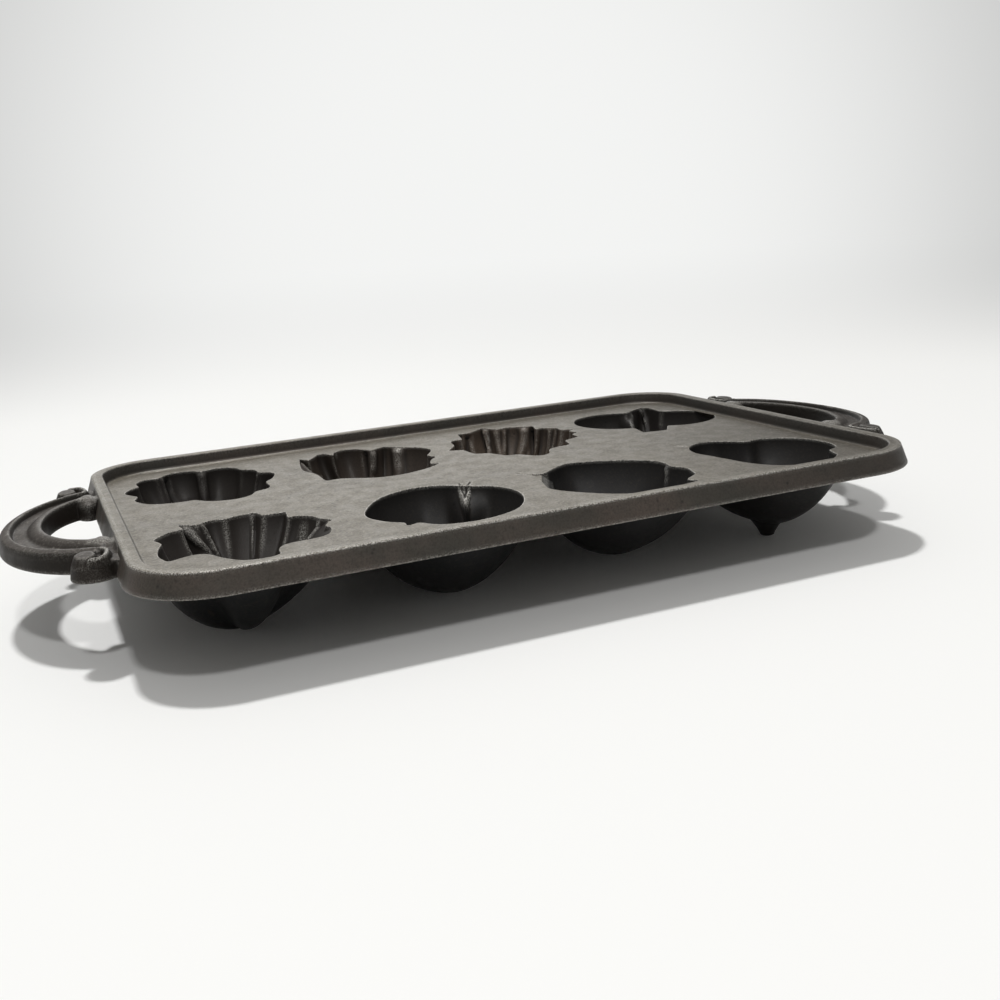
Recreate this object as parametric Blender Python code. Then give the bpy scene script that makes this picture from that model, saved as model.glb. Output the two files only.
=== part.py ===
"""Cast iron fruit cornbread pan: a shallow rimmed tray with eight fruit cavities and two scroll handles.

The origin is on the table under the middle of the pan, +X runs along its length, -Y is its front and
+Z is up. The real pan is one casting. Here it is parted where its features meet, with a hairline gap.
"""

from math import asin, cos, pi, radians, sin

import bmesh
import bpy
from mathutils import Vector

MM = 0.001

# Tray: the deck lies inside a raised rim, whose outer wall spreads downwards
DECK_DROP = 5.5 * MM
DECK_THICKNESS = 3.5 * MM
RIM_WIDTH = 5.5 * MM
RIM_INNER_DRAFT = 0.8 * MM
RIM_FLARE = 2.6 * MM
RIM_CORNER_RADIUS = 30 * MM
RIM_EDGE_ROUND = 0.7 * MM
END_MARGIN = 1.7 * MM
SIDE_MARGIN = 10.4 * MM
CORNER_STEPS = 8

# Moulds: cups of even wall under the deck, in four columns and two rows
MOULD_WALL = 3.6 * MM
COLUMN_GAP = 2.8 * MM
ROW_GAP = 22.2 * MM
OUTLINE_STEP = 6.5 * MM
WALL_LEVELS = 6
LAST_WALL_ANGLE = radians(77)
FLOOR_SHARE = 0.07
RIDGE_RUN_IN = 0.2

GRAPE_DEPTH = 31.6 * MM
APPLE_DEPTH = 33.5 * MM
POMEGRANATE_DEPTH = 30.9 * MM
PEAR_DEPTH = 29.4 * MM
BRAMBLE_DEPTH = 31.4 * MM
STRAWBERRY_DEPTH = 31.9 * MM
PINEAPPLE_DEPTH = 31.4 * MM
CHERRY_DEPTH = 29.4 * MM

# Where each cavity is lowest, about its mould's place
GRAPE_LOW_POINT = (-4.5 * MM, -3 * MM)
APPLE_LOW_POINT = (4 * MM, -2 * MM)
POMEGRANATE_LOW_POINT = (0.5 * MM, -3 * MM)
PEAR_LOW_POINT = (0.5 * MM, -7 * MM)
BRAMBLE_LOW_POINT = (2 * MM, 0 * MM)
STRAWBERRY_LOW_POINT = (3 * MM, -5 * MM)
PINEAPPLE_LOW_POINT = (1 * MM, -3 * MM)
CHERRY_LOW_POINT = (1 * MM, 1 * MM)

# Feet: tapered nubs under the four corner moulds, down to the table
GRAPE_FOOT = (-1 * MM, 10 * MM)
PEAR_FOOT = (-2.5 * MM, -7 * MM)
BRAMBLE_FOOT = (2 * MM, 0 * MM)
CHERRY_FOOT = (1 * MM, 1 * MM)
FOOT_CLEARANCE = 1.4 * MM
FOOT_TIP_RADIUS = 3.2 * MM
FOOT_NECK_RADIUS = 3.8 * MM
FOOT_NECK_HEIGHT = 2.6 * MM
FOOT_FLARE_RADIUS = 5 * MM
FOOT_FLARE_HEIGHT = 4.6 * MM
FOOT_ROOT_RADIUS = 7.5 * MM
FOOT_ROOT_HEIGHT = 6.5 * MM
FOOT_SIDES = 12

# Handles: a grooved band bent into half an oval, its top sloping down a little towards its far end,
# with a scroll and a bud at each root. Reach and span are taken over the band's upper edge.
HANDLE_REACH = 40.6 * MM
HANDLE_SPAN = 113 * MM
HANDLE_THICKNESS = 9.5 * MM
HANDLE_DROP = 0.3 * MM
HANDLE_FALL = 1.9 * MM
BAND_WIDTH = 15.8 * MM
OUTER_RIDGE = 4 * MM
INNER_RIDGE = 6.2 * MM
BAND_GROOVE_DEPTH = 3.2 * MM
BAND_EDGE_ROUND = 1.1 * MM
BAND_DRAFT = 1.2 * MM
BAND_STEPS = 22
OVAL_POWER = 2
SCROLL_RADIUS = 7.3 * MM
SCROLL_BAR = 2.8 * MM
SCROLL_RELIEF = 2.4 * MM
SCROLL_STEPS = 14
SCROLL_OVERHANG = 5.5 * MM
SCROLL_STAND_OFF = 9.3 * MM
SCROLL_EYE_RADIUS = 4.6 * MM
SCROLL_EYE_SHIFT = 2 * MM
SCROLL_EYE_DRAFT = 2.5 * MM
BUD_LENGTH = 15 * MM
BUD_WIDTH = 9 * MM
BUD_HEIGHT = 6.4 * MM
BUD_STAND_OFF = 4.5 * MM
BUD_INSET = 1.5 * MM
BUD_SEGMENTS = 12
BUD_RINGS = 6
ROOT_DEPTH = 9.8 * MM
ROOT_EMBED = 4 * MM
ROOT_INNER_FLARE = 5.5 * MM
ROOT_OUTER_FLARE = 5 * MM
ROOT_BESIDE_SCROLL = 4 * MM
ROOT_FLARE_STEPS = 4

# Parting gap that stands for continuous metal, and the overshoot of a cutter
PART_GAP = 0.3 * MM
OVERSHOOT = 1.0 * MM

SMOOTH_ANGLE = radians(38)

# Cavity outlines on the deck in millimetres about each mould's place, anticlockwise.
# A third value marks a sharp corner; the line is smooth through every other point.
CORNER = 1
GRAPE_OUTLINE = (
    (-31, 0.5), (-32, -9.5), (-30, -18.5, CORNER), (-18, -15.5), (-10.5, -27.5), (-4.5, -34.5),
    (6.5, -34.5), (8.5, -26.5), (12.5, -21.5), (20.5, -20.5), (28.5, -18.5), (32.5, -10.5),
    (31.5, -4, CORNER), (36.5, 2.5, CORNER), (32.5, 8, CORNER), (30.5, 14.5), (26, 18),
    (22, 18, CORNER), (23.5, 28.5, CORNER), (14, 28.5, CORNER), (12.5, 35.5, CORNER), (4, 35),
    (-0.5, 32.5, CORNER), (-6, 34.5), (-12.5, 30.5, CORNER), (-19, 35.5, CORNER),
    (-18, 27.5, CORNER), (-24, 25.5), (-31, 17, CORNER), (-28.5, 9, CORNER),
)
APPLE_OUTLINE = (
    (-30.5, -2), (-26.5, -14), (-20.5, -20.5, CORNER), (-21.5, -25.5, CORNER), (-16, -23.5, CORNER),
    (-10, -31.5), (2, -35), (14, -33), (25, -26.5), (33.5, -12), (35.5, 3), (31, 14.5),
    (24.5, 20, CORNER), (19.5, 25, CORNER), (12.5, 31), (1, 33.5), (-14.5, 27), (-25.5, 12.5),
)
POMEGRANATE_OUTLINE = (
    (-31, -7), (-21, -24.5), (-9, -35), (5, -37), (17, -34.5, CORNER), (24.5, -31.5, CORNER),
    (25.5, -24, CORNER), (31, -16.5), (33, -10.5), (29.5, -2, CORNER), (31, 6), (28, 15),
    (18, 24), (6, 31), (-4, 33.5), (-14, 27.5), (-23, 19), (-29, 5),
)
PEAR_OUTLINE = (
    (-20.5, -18.5), (-15.5, -29), (-8, -35), (1, -37.5), (11, -36), (18.5, -30.5, CORNER),
    (21.5, -21, CORNER), (29, -16.5), (32.5, -4), (29.5, 9.5), (22.5, 17.5), (14, 21.5),
    (7, 20.5), (0, 26), (-6.5, 31.5), (-14.5, 32), (-23, 25), (-26.5, 14), (-24.5, 3), (-22.5, -8),
)
BRAMBLE_OUTLINE = (
    (-32, 6), (-27.5, -4.5, CORNER), (-29.5, -14), (-24, -25), (-14, -29.5), (-5.5, -29.5, CORNER),
    (-1, -36), (8.5, -40), (17, -37), (20.5, -30.5, CORNER), (28, -26.5), (29, -13.5, CORNER),
    (34, -6), (36.5, 5), (30.5, 11, CORNER), (30, 19), (24.5, 24.5, CORNER), (23, 31),
    (15.5, 36.5), (6.5, 34, CORNER), (2, 39), (-7, 40), (-14, 32.5, CORNER), (-21, 33),
    (-25, 27), (-24.5, 18.5, CORNER), (-30, 13),
)
STRAWBERRY_OUTLINE = (
    (-29.5, -1), (-26.5, -13), (-26.5, -31, CORNER), (-19.5, -31), (-11.5, -36), (-4.5, -40.5),
    (5.5, -42), (15.5, -39.5), (24, -33), (30, -22), (34.5, -9), (38, 6), (35, 15.5),
    (29, 21, CORNER), (21, 31, CORNER), (12.5, 25, CORNER), (8, 33), (2, 37), (-4.5, 33.5),
    (-7.5, 26, CORNER), (-12, 34), (-17.5, 27.5), (-21.5, 22, CORNER), (-24.5, 29, CORNER), (-28, 12),
)
PINEAPPLE_OUTLINE = (
    (-36, -5, CORNER), (-29.5, -8, CORNER), (-28.5, -22, CORNER), (-22, -25.5, CORNER),
    (-18, -36.5, CORNER), (-12, -38, CORNER), (-5, -47.5), (1, -45), (6, -36), (18.5, -33, CORNER),
    (21, -22, CORNER), (31.5, -17, CORNER), (31.5, -9, CORNER), (36.5, -6, CORNER), (34, 0, CORNER),
    (39, 3, CORNER), (32.5, 6, CORNER), (33.5, 12, CORNER), (27, 19, CORNER), (23, 17, CORNER),
    (26, 27.5, CORNER), (13, 34), (7, 32.5, CORNER), (2, 43, CORNER), (-9, 34, CORNER),
    (-15.5, 35, CORNER), (-19, 19, CORNER), (-25, 19), (-28.5, 6, CORNER),
)
CHERRY_OUTLINE = (
    (-35, 8), (-32, -3), (-25, -12), (-15.5, -18, CORNER), (-18, -31, CORNER), (-6, -34, CORNER),
    (0.5, -24, CORNER), (10, -29), (22, -28), (32.5, -20.5), (37, -8), (34.5, 6), (27, 13.5),
    (21.5, 17.5, CORNER), (21, 35), (14, 33), (4.5, 26.5, CORNER), (-4, 31.5), (-14.5, 32.5),
    (-26, 28), (-33, 18),
)

FRONT_ROW = ("grape", "apple", "pomegranate", "pear")
BACK_ROW = ("bramble", "strawberry", "pineapple", "cherry")


class Mould:
    """One fruit cavity and the cup under it, drawn about its own place on the deck.

    The wall runs down like an ellipse of a chosen fullness: 2 is a true ellipse, and less is more like
    a cone. A swell is (heading, half width, extra fullness), a side on which the wall bulges out, and a
    ridge is (heading, half width, depth), a crease in the wall that points inwards. Headings and half
    widths are in degrees.
    """

    def __init__(self, outline, depth, fullness, low_point, swells=(), ridges=(), foot=None):
        self.outline = closed_line(outline)
        self.depth = depth
        self.fullness = fullness
        self.low_point = Vector(low_point)
        self.swells = swells
        self.ridges = ridges
        self.foot = foot

    def outer_line(self):
        """The cup's outline at deck level: a calmer copy of the cavity's, one wall further out."""
        line = self.outline
        grown = []
        for before, point, after in zip(line[-1:] + line, line, line[1:] + line[:1]):
            calm = (before + 2 * point + after) / 4
            grown.append(calm + (calm - self.low_point).normalized() * MOULD_WALL)
        return grown

    def fullness_towards(self, away):
        fullness = self.fullness
        for heading, half_width, extra in self.swells:
            fullness += extra * nearness(away, heading, half_width)
        return fullness

    def crease_towards(self, away, level):
        """How far the ridges push the wall in there: nothing at the deck, and all of it a little way down."""
        crease = 0
        for heading, half_width, depth in self.ridges:
            crease += depth * nearness(away, heading, half_width)
        return crease * min(1, level / RIDGE_RUN_IN)

    def ring(self, line, level, drop):
        """The line drawn in towards the lowest point, as the wall is at that share of the depth."""
        points = []
        for point in line:
            away = point - self.low_point
            fullness = self.fullness_towards(away)
            share = max(FLOOR_SHARE, (1 - level**fullness) ** (1 / fullness))
            place = self.low_point + away * share * (1 - self.crease_towards(away, level))
            points.append(Vector((place.x, place.y, -drop)))
        return points

    def cavity_rings(self):
        """Rings of the cavity from its floor up, ending a little above the deck."""
        rings = [self.ring(self.outline, level, self.depth * level) for level in wall_levels(0)]
        rings[0] = [Vector((point.x, point.y, OVERSHOOT)) for point in rings[0]]
        return rings[::-1]

    def cup_rings(self):
        """Rings of the cup's outside from its bottom up to the underside of the deck."""
        full_depth = self.depth + MOULD_WALL
        top_level = (DECK_THICKNESS + PART_GAP) / full_depth
        line = self.outer_line()
        rings = [self.ring(line, level, full_depth * level) for level in wall_levels(top_level)]
        return rings[::-1]


def nearness(away, heading, half_width):
    """1 where a point lies in the heading, falling smoothly to 0 at the half width to either side."""
    aim = Vector((cos(radians(heading)), sin(radians(heading))))
    turn = away.angle(aim) / radians(half_width)
    return max(0, 1 - turn**2) ** 2


def closed_line(knots):
    """Points about OUTLINE_STEP apart on a closed line through the knots."""
    points = []
    count = len(knots)
    for i in range(count):
        before, start, end, after = (knots[(i + k) % count] for k in (-1, 0, 1, 2))
        a = Vector(start[:2]) * MM
        b = Vector(end[:2]) * MM
        chord = (b - a).length
        leave = b - a if len(start) == 3 else (b - Vector(before[:2]) * MM).normalized() * chord
        arrive = b - a if len(end) == 3 else (Vector(after[:2]) * MM - a).normalized() * chord
        pieces = max(1, round(chord / OUTLINE_STEP))
        for k in range(pieces):
            t = k / pieces
            points.append(
                a * (2 * t**3 - 3 * t**2 + 1)
                + leave * (t**3 - 2 * t**2 + t)
                + b * (3 * t**2 - 2 * t**3)
                + arrive * (t**3 - t**2)
            )
    return points


def wall_levels(top_level):
    """Shares of the depth at which the wall's rings lie, closer together where it turns into the floor."""
    start = asin(top_level)
    levels = []
    for i in range(WALL_LEVELS + 1):
        levels.append(sin(start + (LAST_WALL_ANGLE - start) * i / WALL_LEVELS))
    return levels + [1]


def rounded_rectangle(half_x, half_y, radius, z):
    """Points of a rounded rectangle, anticlockwise seen from above."""
    points = []
    for quarter, (sx, sy) in enumerate(((1, 1), (-1, 1), (-1, -1), (1, -1))):
        for step in range(CORNER_STEPS + 1):
            angle = (quarter + step / CORNER_STEPS) * pi / 2
            x = sx * (half_x - radius) + radius * cos(angle)
            y = sy * (half_y - radius) + radius * sin(angle)
            points.append(Vector((x, y, z)))
    return points


def collection(name):
    group = bpy.data.collections.new(name)
    bpy.context.scene.collection.children.link(group)
    return group


def iron(name, colour, roughness):
    """Bare seasoned cast iron."""
    material = bpy.data.materials.new(name + "_iron")
    material.use_nodes = True
    shader = material.node_tree.nodes["Principled BSDF"]
    shader.inputs["Base Color"].default_value = (*colour, 1.0)
    shader.inputs["Roughness"].default_value = roughness
    shader.inputs["Metallic"].default_value = 0.6
    return material


def add_object(name, bm, group):
    """A smooth-shaded object from a bmesh, with every face pointing out."""
    bmesh.ops.recalc_face_normals(bm, faces=bm.faces)
    mesh = bpy.data.meshes.new(name)
    bm.to_mesh(mesh)
    bm.free()
    mesh.shade_smooth()
    mesh.set_sharp_from_angle(angle=SMOOTH_ANGLE)
    part = bpy.data.objects.new(name, mesh)
    group.objects.link(part)
    return part


def loft(name, rings, group, looped=False):
    """A closed solid through rings of equal count, capped at both ends or joined into a loop."""
    bm = bmesh.new()
    rows = [[bm.verts.new(point) for point in ring] for ring in rings]
    pairs = list(zip(rows, rows[1:]))
    if looped:
        pairs.append((rows[-1], rows[0]))
    else:
        bm.faces.new(rows[0])
        bm.faces.new(rows[-1])
    for low, high in pairs:
        for i in range(len(low)):
            j = (i + 1) % len(low)
            bm.faces.new((low[i], low[j], high[j], high[i]))
    return add_object(name, bm, group)


def as_helper(part):
    part.hide_render = True
    part.display_type = "WIRE"
    return part


def combine(part, other, operation):
    step = part.modifiers.new(other.name, "BOOLEAN")
    step.operation = operation
    step.solver = "EXACT"
    step.object = other


def shifted(rings, place):
    return [[point + place for point in ring] for ring in rings]


def make_moulds():
    """The eight moulds by name."""
    return {
        "grape": Mould(
            GRAPE_OUTLINE, GRAPE_DEPTH, 1.42, GRAPE_LOW_POINT,
            swells=((186, 36, 0.45), (272, 50, 0.35)), foot=GRAPE_FOOT,
        ),
        "apple": Mould(
            APPLE_OUTLINE, APPLE_DEPTH, 1.6, APPLE_LOW_POINT,
            swells=((200, 120, 0.3),), ridges=((50, 30, 0.3),),
        ),
        "pomegranate": Mould(
            POMEGRANATE_OUTLINE, POMEGRANATE_DEPTH, 1.52, POMEGRANATE_LOW_POINT,
            swells=((180, 140, 0.35),),
        ),
        "pear": Mould(
            PEAR_OUTLINE, PEAR_DEPTH, 1.6, PEAR_LOW_POINT, swells=((190, 140, 0.5),), foot=PEAR_FOOT
        ),
        "bramble": Mould(
            BRAMBLE_OUTLINE, BRAMBLE_DEPTH, 1.8, BRAMBLE_LOW_POINT, foot=BRAMBLE_FOOT
        ),
        "strawberry": Mould(STRAWBERRY_OUTLINE, STRAWBERRY_DEPTH, 1.8, STRAWBERRY_LOW_POINT),
        "pineapple": Mould(PINEAPPLE_OUTLINE, PINEAPPLE_DEPTH, 1.8, PINEAPPLE_LOW_POINT),
        "cherry": Mould(
            CHERRY_OUTLINE, CHERRY_DEPTH, 1.8, CHERRY_LOW_POINT,
            ridges=((78, 14, 0.35), (272, 14, 0.35)), foot=CHERRY_FOOT,
        ),
    }


def least_pitch(first, second, axis):
    """The distance between two moulds' places, along an axis, at which their cups would just touch."""
    ahead = max(point[axis] for point in first.cup_rings()[-1])
    behind = min(point[axis] for point in second.cup_rings()[-1])
    return ahead - behind


def lay_out(moulds):
    """Places of the moulds on the deck, and the half length and half width of the deck."""
    neighbours = [pair for row in (FRONT_ROW, BACK_ROW) for pair in zip(row, row[1:])]
    pitch_x = COLUMN_GAP + max(least_pitch(moulds[a], moulds[b], 0) for a, b in neighbours)
    pitch_y = ROW_GAP + max(least_pitch(moulds[a], moulds[b], 1) for a, b in zip(FRONT_ROW, BACK_ROW))
    places = {}
    for side, row in ((-0.5, FRONT_ROW), (0.5, BACK_ROW)):
        for column, name in enumerate(row):
            places[name] = Vector(((column - 1.5) * pitch_x, side * pitch_y, 0))
    half_x = END_MARGIN + max(
        abs(places[name].x + point.x) for name in moulds for point in moulds[name].outline
    )
    half_y = SIDE_MARGIN + max(
        abs(places[name].y + point.y) for name in moulds for point in moulds[name].outline
    )
    return places, half_x, half_y


def make_rim(half_x, half_y, group, material):
    """The raised border: one profile carried round the deck, given as (distance out from the deck, height)."""
    top = rim_top()
    bottom = top - DECK_DROP - DECK_THICKNESS
    outer = RIM_INNER_DRAFT + RIM_WIDTH
    skirt = outer + RIM_FLARE
    profile = (
        (0, bottom),
        (skirt - RIM_EDGE_ROUND, bottom),
        (skirt, bottom + RIM_EDGE_ROUND),
        (outer, top - RIM_EDGE_ROUND),
        (outer - RIM_EDGE_ROUND, top),
        (RIM_INNER_DRAFT + RIM_EDGE_ROUND, top),
        (RIM_INNER_DRAFT, top - RIM_EDGE_ROUND),
        (0, top - DECK_DROP),
    )
    radius = RIM_CORNER_RADIUS - outer
    rings = [
        rounded_rectangle(half_x + out, half_y + out, radius + out, height) for out, height in profile
    ]
    rim = loft("rim", rings, group, looped=True)
    rim.data.materials.append(material)
    return rim


def rim_top():
    deepest = max(
        GRAPE_DEPTH, APPLE_DEPTH, POMEGRANATE_DEPTH, PEAR_DEPTH,
        BRAMBLE_DEPTH, STRAWBERRY_DEPTH, PINEAPPLE_DEPTH, CHERRY_DEPTH,
    )
    return DECK_DROP + deepest + MOULD_WALL + FOOT_CLEARANCE


def make_deck(half_x, half_y, cavities, group, material):
    """The flat plate inside the rim, opened by every cavity."""
    top = rim_top() - DECK_DROP
    radius = RIM_CORNER_RADIUS - RIM_INNER_DRAFT - RIM_WIDTH - PART_GAP
    rings = [
        rounded_rectangle(half_x - PART_GAP, half_y - PART_GAP, radius, height)
        for height in (top - DECK_THICKNESS, top)
    ]
    deck = loft("deck", rings, group)
    deck.data.materials.append(material)
    for cavity in cavities:
        combine(deck, cavity, "DIFFERENCE")
    return deck


def make_foot(name, place, top, cutters):
    """A turned nub with a flared root, standing on the table; the cavity takes out what rises into it."""
    profile = (
        (FOOT_TIP_RADIUS, 0),
        (FOOT_NECK_RADIUS, FOOT_NECK_HEIGHT),
        (FOOT_FLARE_RADIUS, FOOT_FLARE_HEIGHT),
        (FOOT_ROOT_RADIUS, FOOT_ROOT_HEIGHT),
        (FOOT_ROOT_RADIUS, top),
    )
    rings = []
    for radius, height in profile:
        ring = []
        for side in range(FOOT_SIDES):
            angle = 2 * pi * side / FOOT_SIDES
            ring.append(Vector((place.x + radius * cos(angle), place.y + radius * sin(angle), height)))
        rings.append(ring)
    return as_helper(loft(name, rings, cutters))


def make_mould(name, mould, place, cavity, group, cutters):
    """A cup hung under the deck: its outside, with any foot added and the cavity taken out."""
    deck_top = Vector((0, 0, rim_top() - DECK_DROP))
    cup = loft(name + "_mould", shifted(mould.cup_rings(), place + deck_top), group)
    if mould.foot:
        foot_place = place + Vector((*mould.foot, 0))
        mid_height = deck_top.z - mould.depth / 2
        foot = make_foot(name + "_foot", foot_place, mid_height, cutters)
        combine(cup, foot, "UNION")
    combine(cup, cavity, "DIFFERENCE")
    return cup


def oval(x_radius, y_radius, share):
    """A point on the handle's half oval; share runs from 0 at one root to 1 at the other."""
    angle = pi * (share - 0.5)
    power = 2 / OVAL_POWER
    x = abs(cos(angle)) ** power * x_radius
    y = abs(sin(angle)) ** power * y_radius
    return Vector((x, y if angle > 0 else -y, 0))


def sweep(name, path, profile, group):
    """A profile of (offset to the right of the path, height) carried along a level path."""
    rings = []
    for i, point in enumerate(path):
        ahead = path[min(i + 1, len(path) - 1)] - path[max(i - 1, 0)]
        right = Vector((ahead.y, -ahead.x, 0)).normalized()
        rings.append([point + right * out + Vector((0, 0, height)) for out, height in profile])
    return loft(name, rings, group)


def ridge(outer_edge, inner_edge, top):
    """Half the band's section, from its lower edge over one ridge and down into the groove."""
    way = 1 if outer_edge > 0 else -1
    shoulder = top - BAND_EDGE_ROUND
    bottom = top - HANDLE_THICKNESS
    return (
        (outer_edge + way * (BAND_DRAFT - BAND_EDGE_ROUND), bottom),
        (outer_edge + way * BAND_DRAFT, bottom + BAND_EDGE_ROUND),
        (outer_edge, shoulder),
        (outer_edge - way * BAND_EDGE_ROUND, top),
        (inner_edge + way * BAND_EDGE_ROUND, top),
        (inner_edge, shoulder),
        (inner_edge - way * BAND_EDGE_ROUND, top - BAND_GROOVE_DEPTH),
    )


def band_profile(top):
    """A narrow outer ridge and a broad inner one with a groove between them, on a flat underside."""
    half = BAND_WIDTH / 2
    outer = ridge(half, half - OUTER_RIDGE, top)
    inner = ridge(-half, INNER_RIDGE - half, top)
    return outer + inner[::-1]


def let_top_fall(band, wall_x, top):
    """Slopes the band's top down towards its far end and leaves its underside level."""
    bottom = top - HANDLE_THICKNESS
    for vertex in band.data.vertices:
        out = max(0, vertex.co.x - wall_x) / HANDLE_REACH
        rise = (vertex.co.z - bottom) / HANDLE_THICKNESS
        vertex.co.z -= HANDLE_FALL * out**1.5 * rise


def make_column(name, centre, radius, draft, bottom, top, group):
    """A round column that spreads downwards by its draft."""
    bm = bmesh.new()
    bmesh.ops.create_cone(
        bm, cap_ends=True, segments=SCROLL_STEPS, radius1=radius + draft, radius2=radius,
        depth=top - bottom,
    )
    bmesh.ops.translate(bm, vec=(centre.x, centre.y, (top + bottom) / 2), verts=bm.verts)
    return as_helper(add_object(name, bm, group))


def make_scroll(name, centre, side, top, group):
    """A volute: from the band a ridge hooks past the wall and back round an eye, over a sunken floor."""
    bar_radius = SCROLL_RADIUS - SCROLL_BAR / 2
    eye_centre = centre + Vector((SCROLL_EYE_SHIFT, 0, 0))
    path = []
    for step in range(SCROLL_STEPS + 1):
        share = step / SCROLL_STEPS
        turn = 2 * pi * share
        radius = bar_radius * (1 - share) + SCROLL_EYE_RADIUS * share
        around = centre.lerp(eye_centre, share)
        path.append(around + Vector((-radius * sin(turn), -side * radius * cos(turn), 0)))
    half = SCROLL_BAR / 2
    bottom = top - HANDLE_THICKNESS
    profile = ((-half, bottom), (half, bottom), (half, top - half), (0, top), (-half, top - half))
    spiral = as_helper(sweep(name, path, profile, group))
    floor_top = top - SCROLL_RELIEF
    floor = make_column(name + "_floor", centre, bar_radius, BAND_DRAFT, bottom, floor_top, group)
    eye_top = top - HANDLE_DROP
    eye = make_column(
        name + "_eye", eye_centre, SCROLL_EYE_RADIUS, SCROLL_EYE_DRAFT, bottom, eye_top, group
    )
    return spiral, floor, eye


def make_bud(name, wall_x, side, group):
    """A low domed bud on a root, as high as the rim."""
    bm = bmesh.new()
    bmesh.ops.create_uvsphere(bm, u_segments=BUD_SEGMENTS, v_segments=BUD_RINGS, radius=0.5)
    bmesh.ops.scale(bm, vec=(BUD_WIDTH, BUD_LENGTH, BUD_HEIGHT), verts=bm.verts)
    centre_y = side * (HANDLE_SPAN / 2 - BAND_WIDTH + BUD_INSET)
    centre = Vector((wall_x + BUD_STAND_OFF, centre_y, rim_top() - BUD_HEIGHT / 2))
    bmesh.ops.translate(bm, vec=centre, verts=bm.verts)
    return as_helper(add_object(name, bm, group))


def root_line():
    """The root's outline as (distance out from the wall, distance from the handle's middle)."""
    inner_end = HANDLE_SPAN / 2 - BAND_WIDTH
    outer_end = HANDLE_SPAN / 2 + SCROLL_OVERHANG + ROOT_BESIDE_SCROLL
    line = [(-ROOT_EMBED, inner_end - ROOT_INNER_FLARE)]
    for step in range(ROOT_FLARE_STEPS + 1):
        share = step / ROOT_FLARE_STEPS
        line.append((ROOT_DEPTH * share, inner_end - ROOT_INNER_FLARE * (1 - share) ** 1.5))
    for step in range(ROOT_FLARE_STEPS + 1):
        share = step / ROOT_FLARE_STEPS
        line.append((ROOT_DEPTH * (1 - share) ** 2, outer_end + ROOT_OUTER_FLARE * share**1.5))
    line.append((-ROOT_EMBED, outer_end + ROOT_OUTER_FLARE))
    return line


def make_root(name, wall_x, side, top, group):
    """The block that joins band, scroll and bud, as low as the grooves, spreading along the wall."""
    bottom = top - HANDLE_THICKNESS
    block_top = top - SCROLL_RELIEF
    shoulder = block_top - BAND_EDGE_ROUND
    rings = []
    for spread, height in ((BAND_DRAFT, bottom), (0, shoulder), (-BAND_EDGE_ROUND, block_top)):
        stretch = 1 + spread / ROOT_DEPTH
        rings.append([Vector((wall_x + out * stretch, side * y, height)) for out, y in root_line()])
    return as_helper(loft(name, rings, group))


def make_handle(half_x, half_y, group, cutters):
    """The handle at the +X end, cut to lie a hairline off the rim's sloping wall."""
    rim_out = RIM_INNER_DRAFT + RIM_WIDTH
    wall_x = half_x + rim_out
    top = rim_top() - HANDLE_DROP
    x_radius = HANDLE_REACH - BAND_WIDTH / 2
    y_radius = (HANDLE_SPAN - BAND_WIDTH) / 2
    path = [Vector((wall_x, 0, 0)) + oval(x_radius, y_radius, i / BAND_STEPS) for i in range(BAND_STEPS + 1)]
    into_wall = Vector((RIM_WIDTH, 0, 0))
    path = [path[0] - into_wall] + path + [path[-1] - into_wall]
    handle = sweep("right_handle", path, band_profile(top), group)
    let_top_fall(handle, wall_x, top)
    for side, end in ((-1, "front"), (1, "back")):
        combine(handle, make_root("root_" + end, wall_x, side, top, cutters), "UNION")
        combine(handle, make_bud("bud_" + end, wall_x, side, cutters), "UNION")
        scroll_y = side * (HANDLE_SPAN / 2 + SCROLL_OVERHANG)
        centre = Vector((wall_x + SCROLL_STAND_OFF, scroll_y, 0))
        for piece in make_scroll("scroll_" + end, centre, side, top, cutters):
            combine(handle, piece, "UNION")
    slope = RIM_FLARE / (DECK_DROP + DECK_THICKNESS)
    rings = []
    for rise in (-2 * HANDLE_THICKNESS, HANDLE_THICKNESS):
        out = rim_out + PART_GAP - slope * rise
        radius = RIM_CORNER_RADIUS + PART_GAP - slope * rise
        rings.append(rounded_rectangle(half_x + out, half_y + out, radius, rim_top() + rise))
    combine(handle, as_helper(loft("wall_clearance", rings, cutters)), "DIFFERENCE")
    return handle


def turned_copy(part, name, group):
    """The same solid turned half round, for the other end of the pan."""
    bpy.context.view_layer.update()
    ready = part.evaluated_get(bpy.context.evaluated_depsgraph_get())
    mesh = bpy.data.meshes.new_from_object(ready)
    mesh.name = name
    copy = bpy.data.objects.new(name, mesh)
    copy.rotation_euler.z = pi
    group.objects.link(copy)
    return copy


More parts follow.
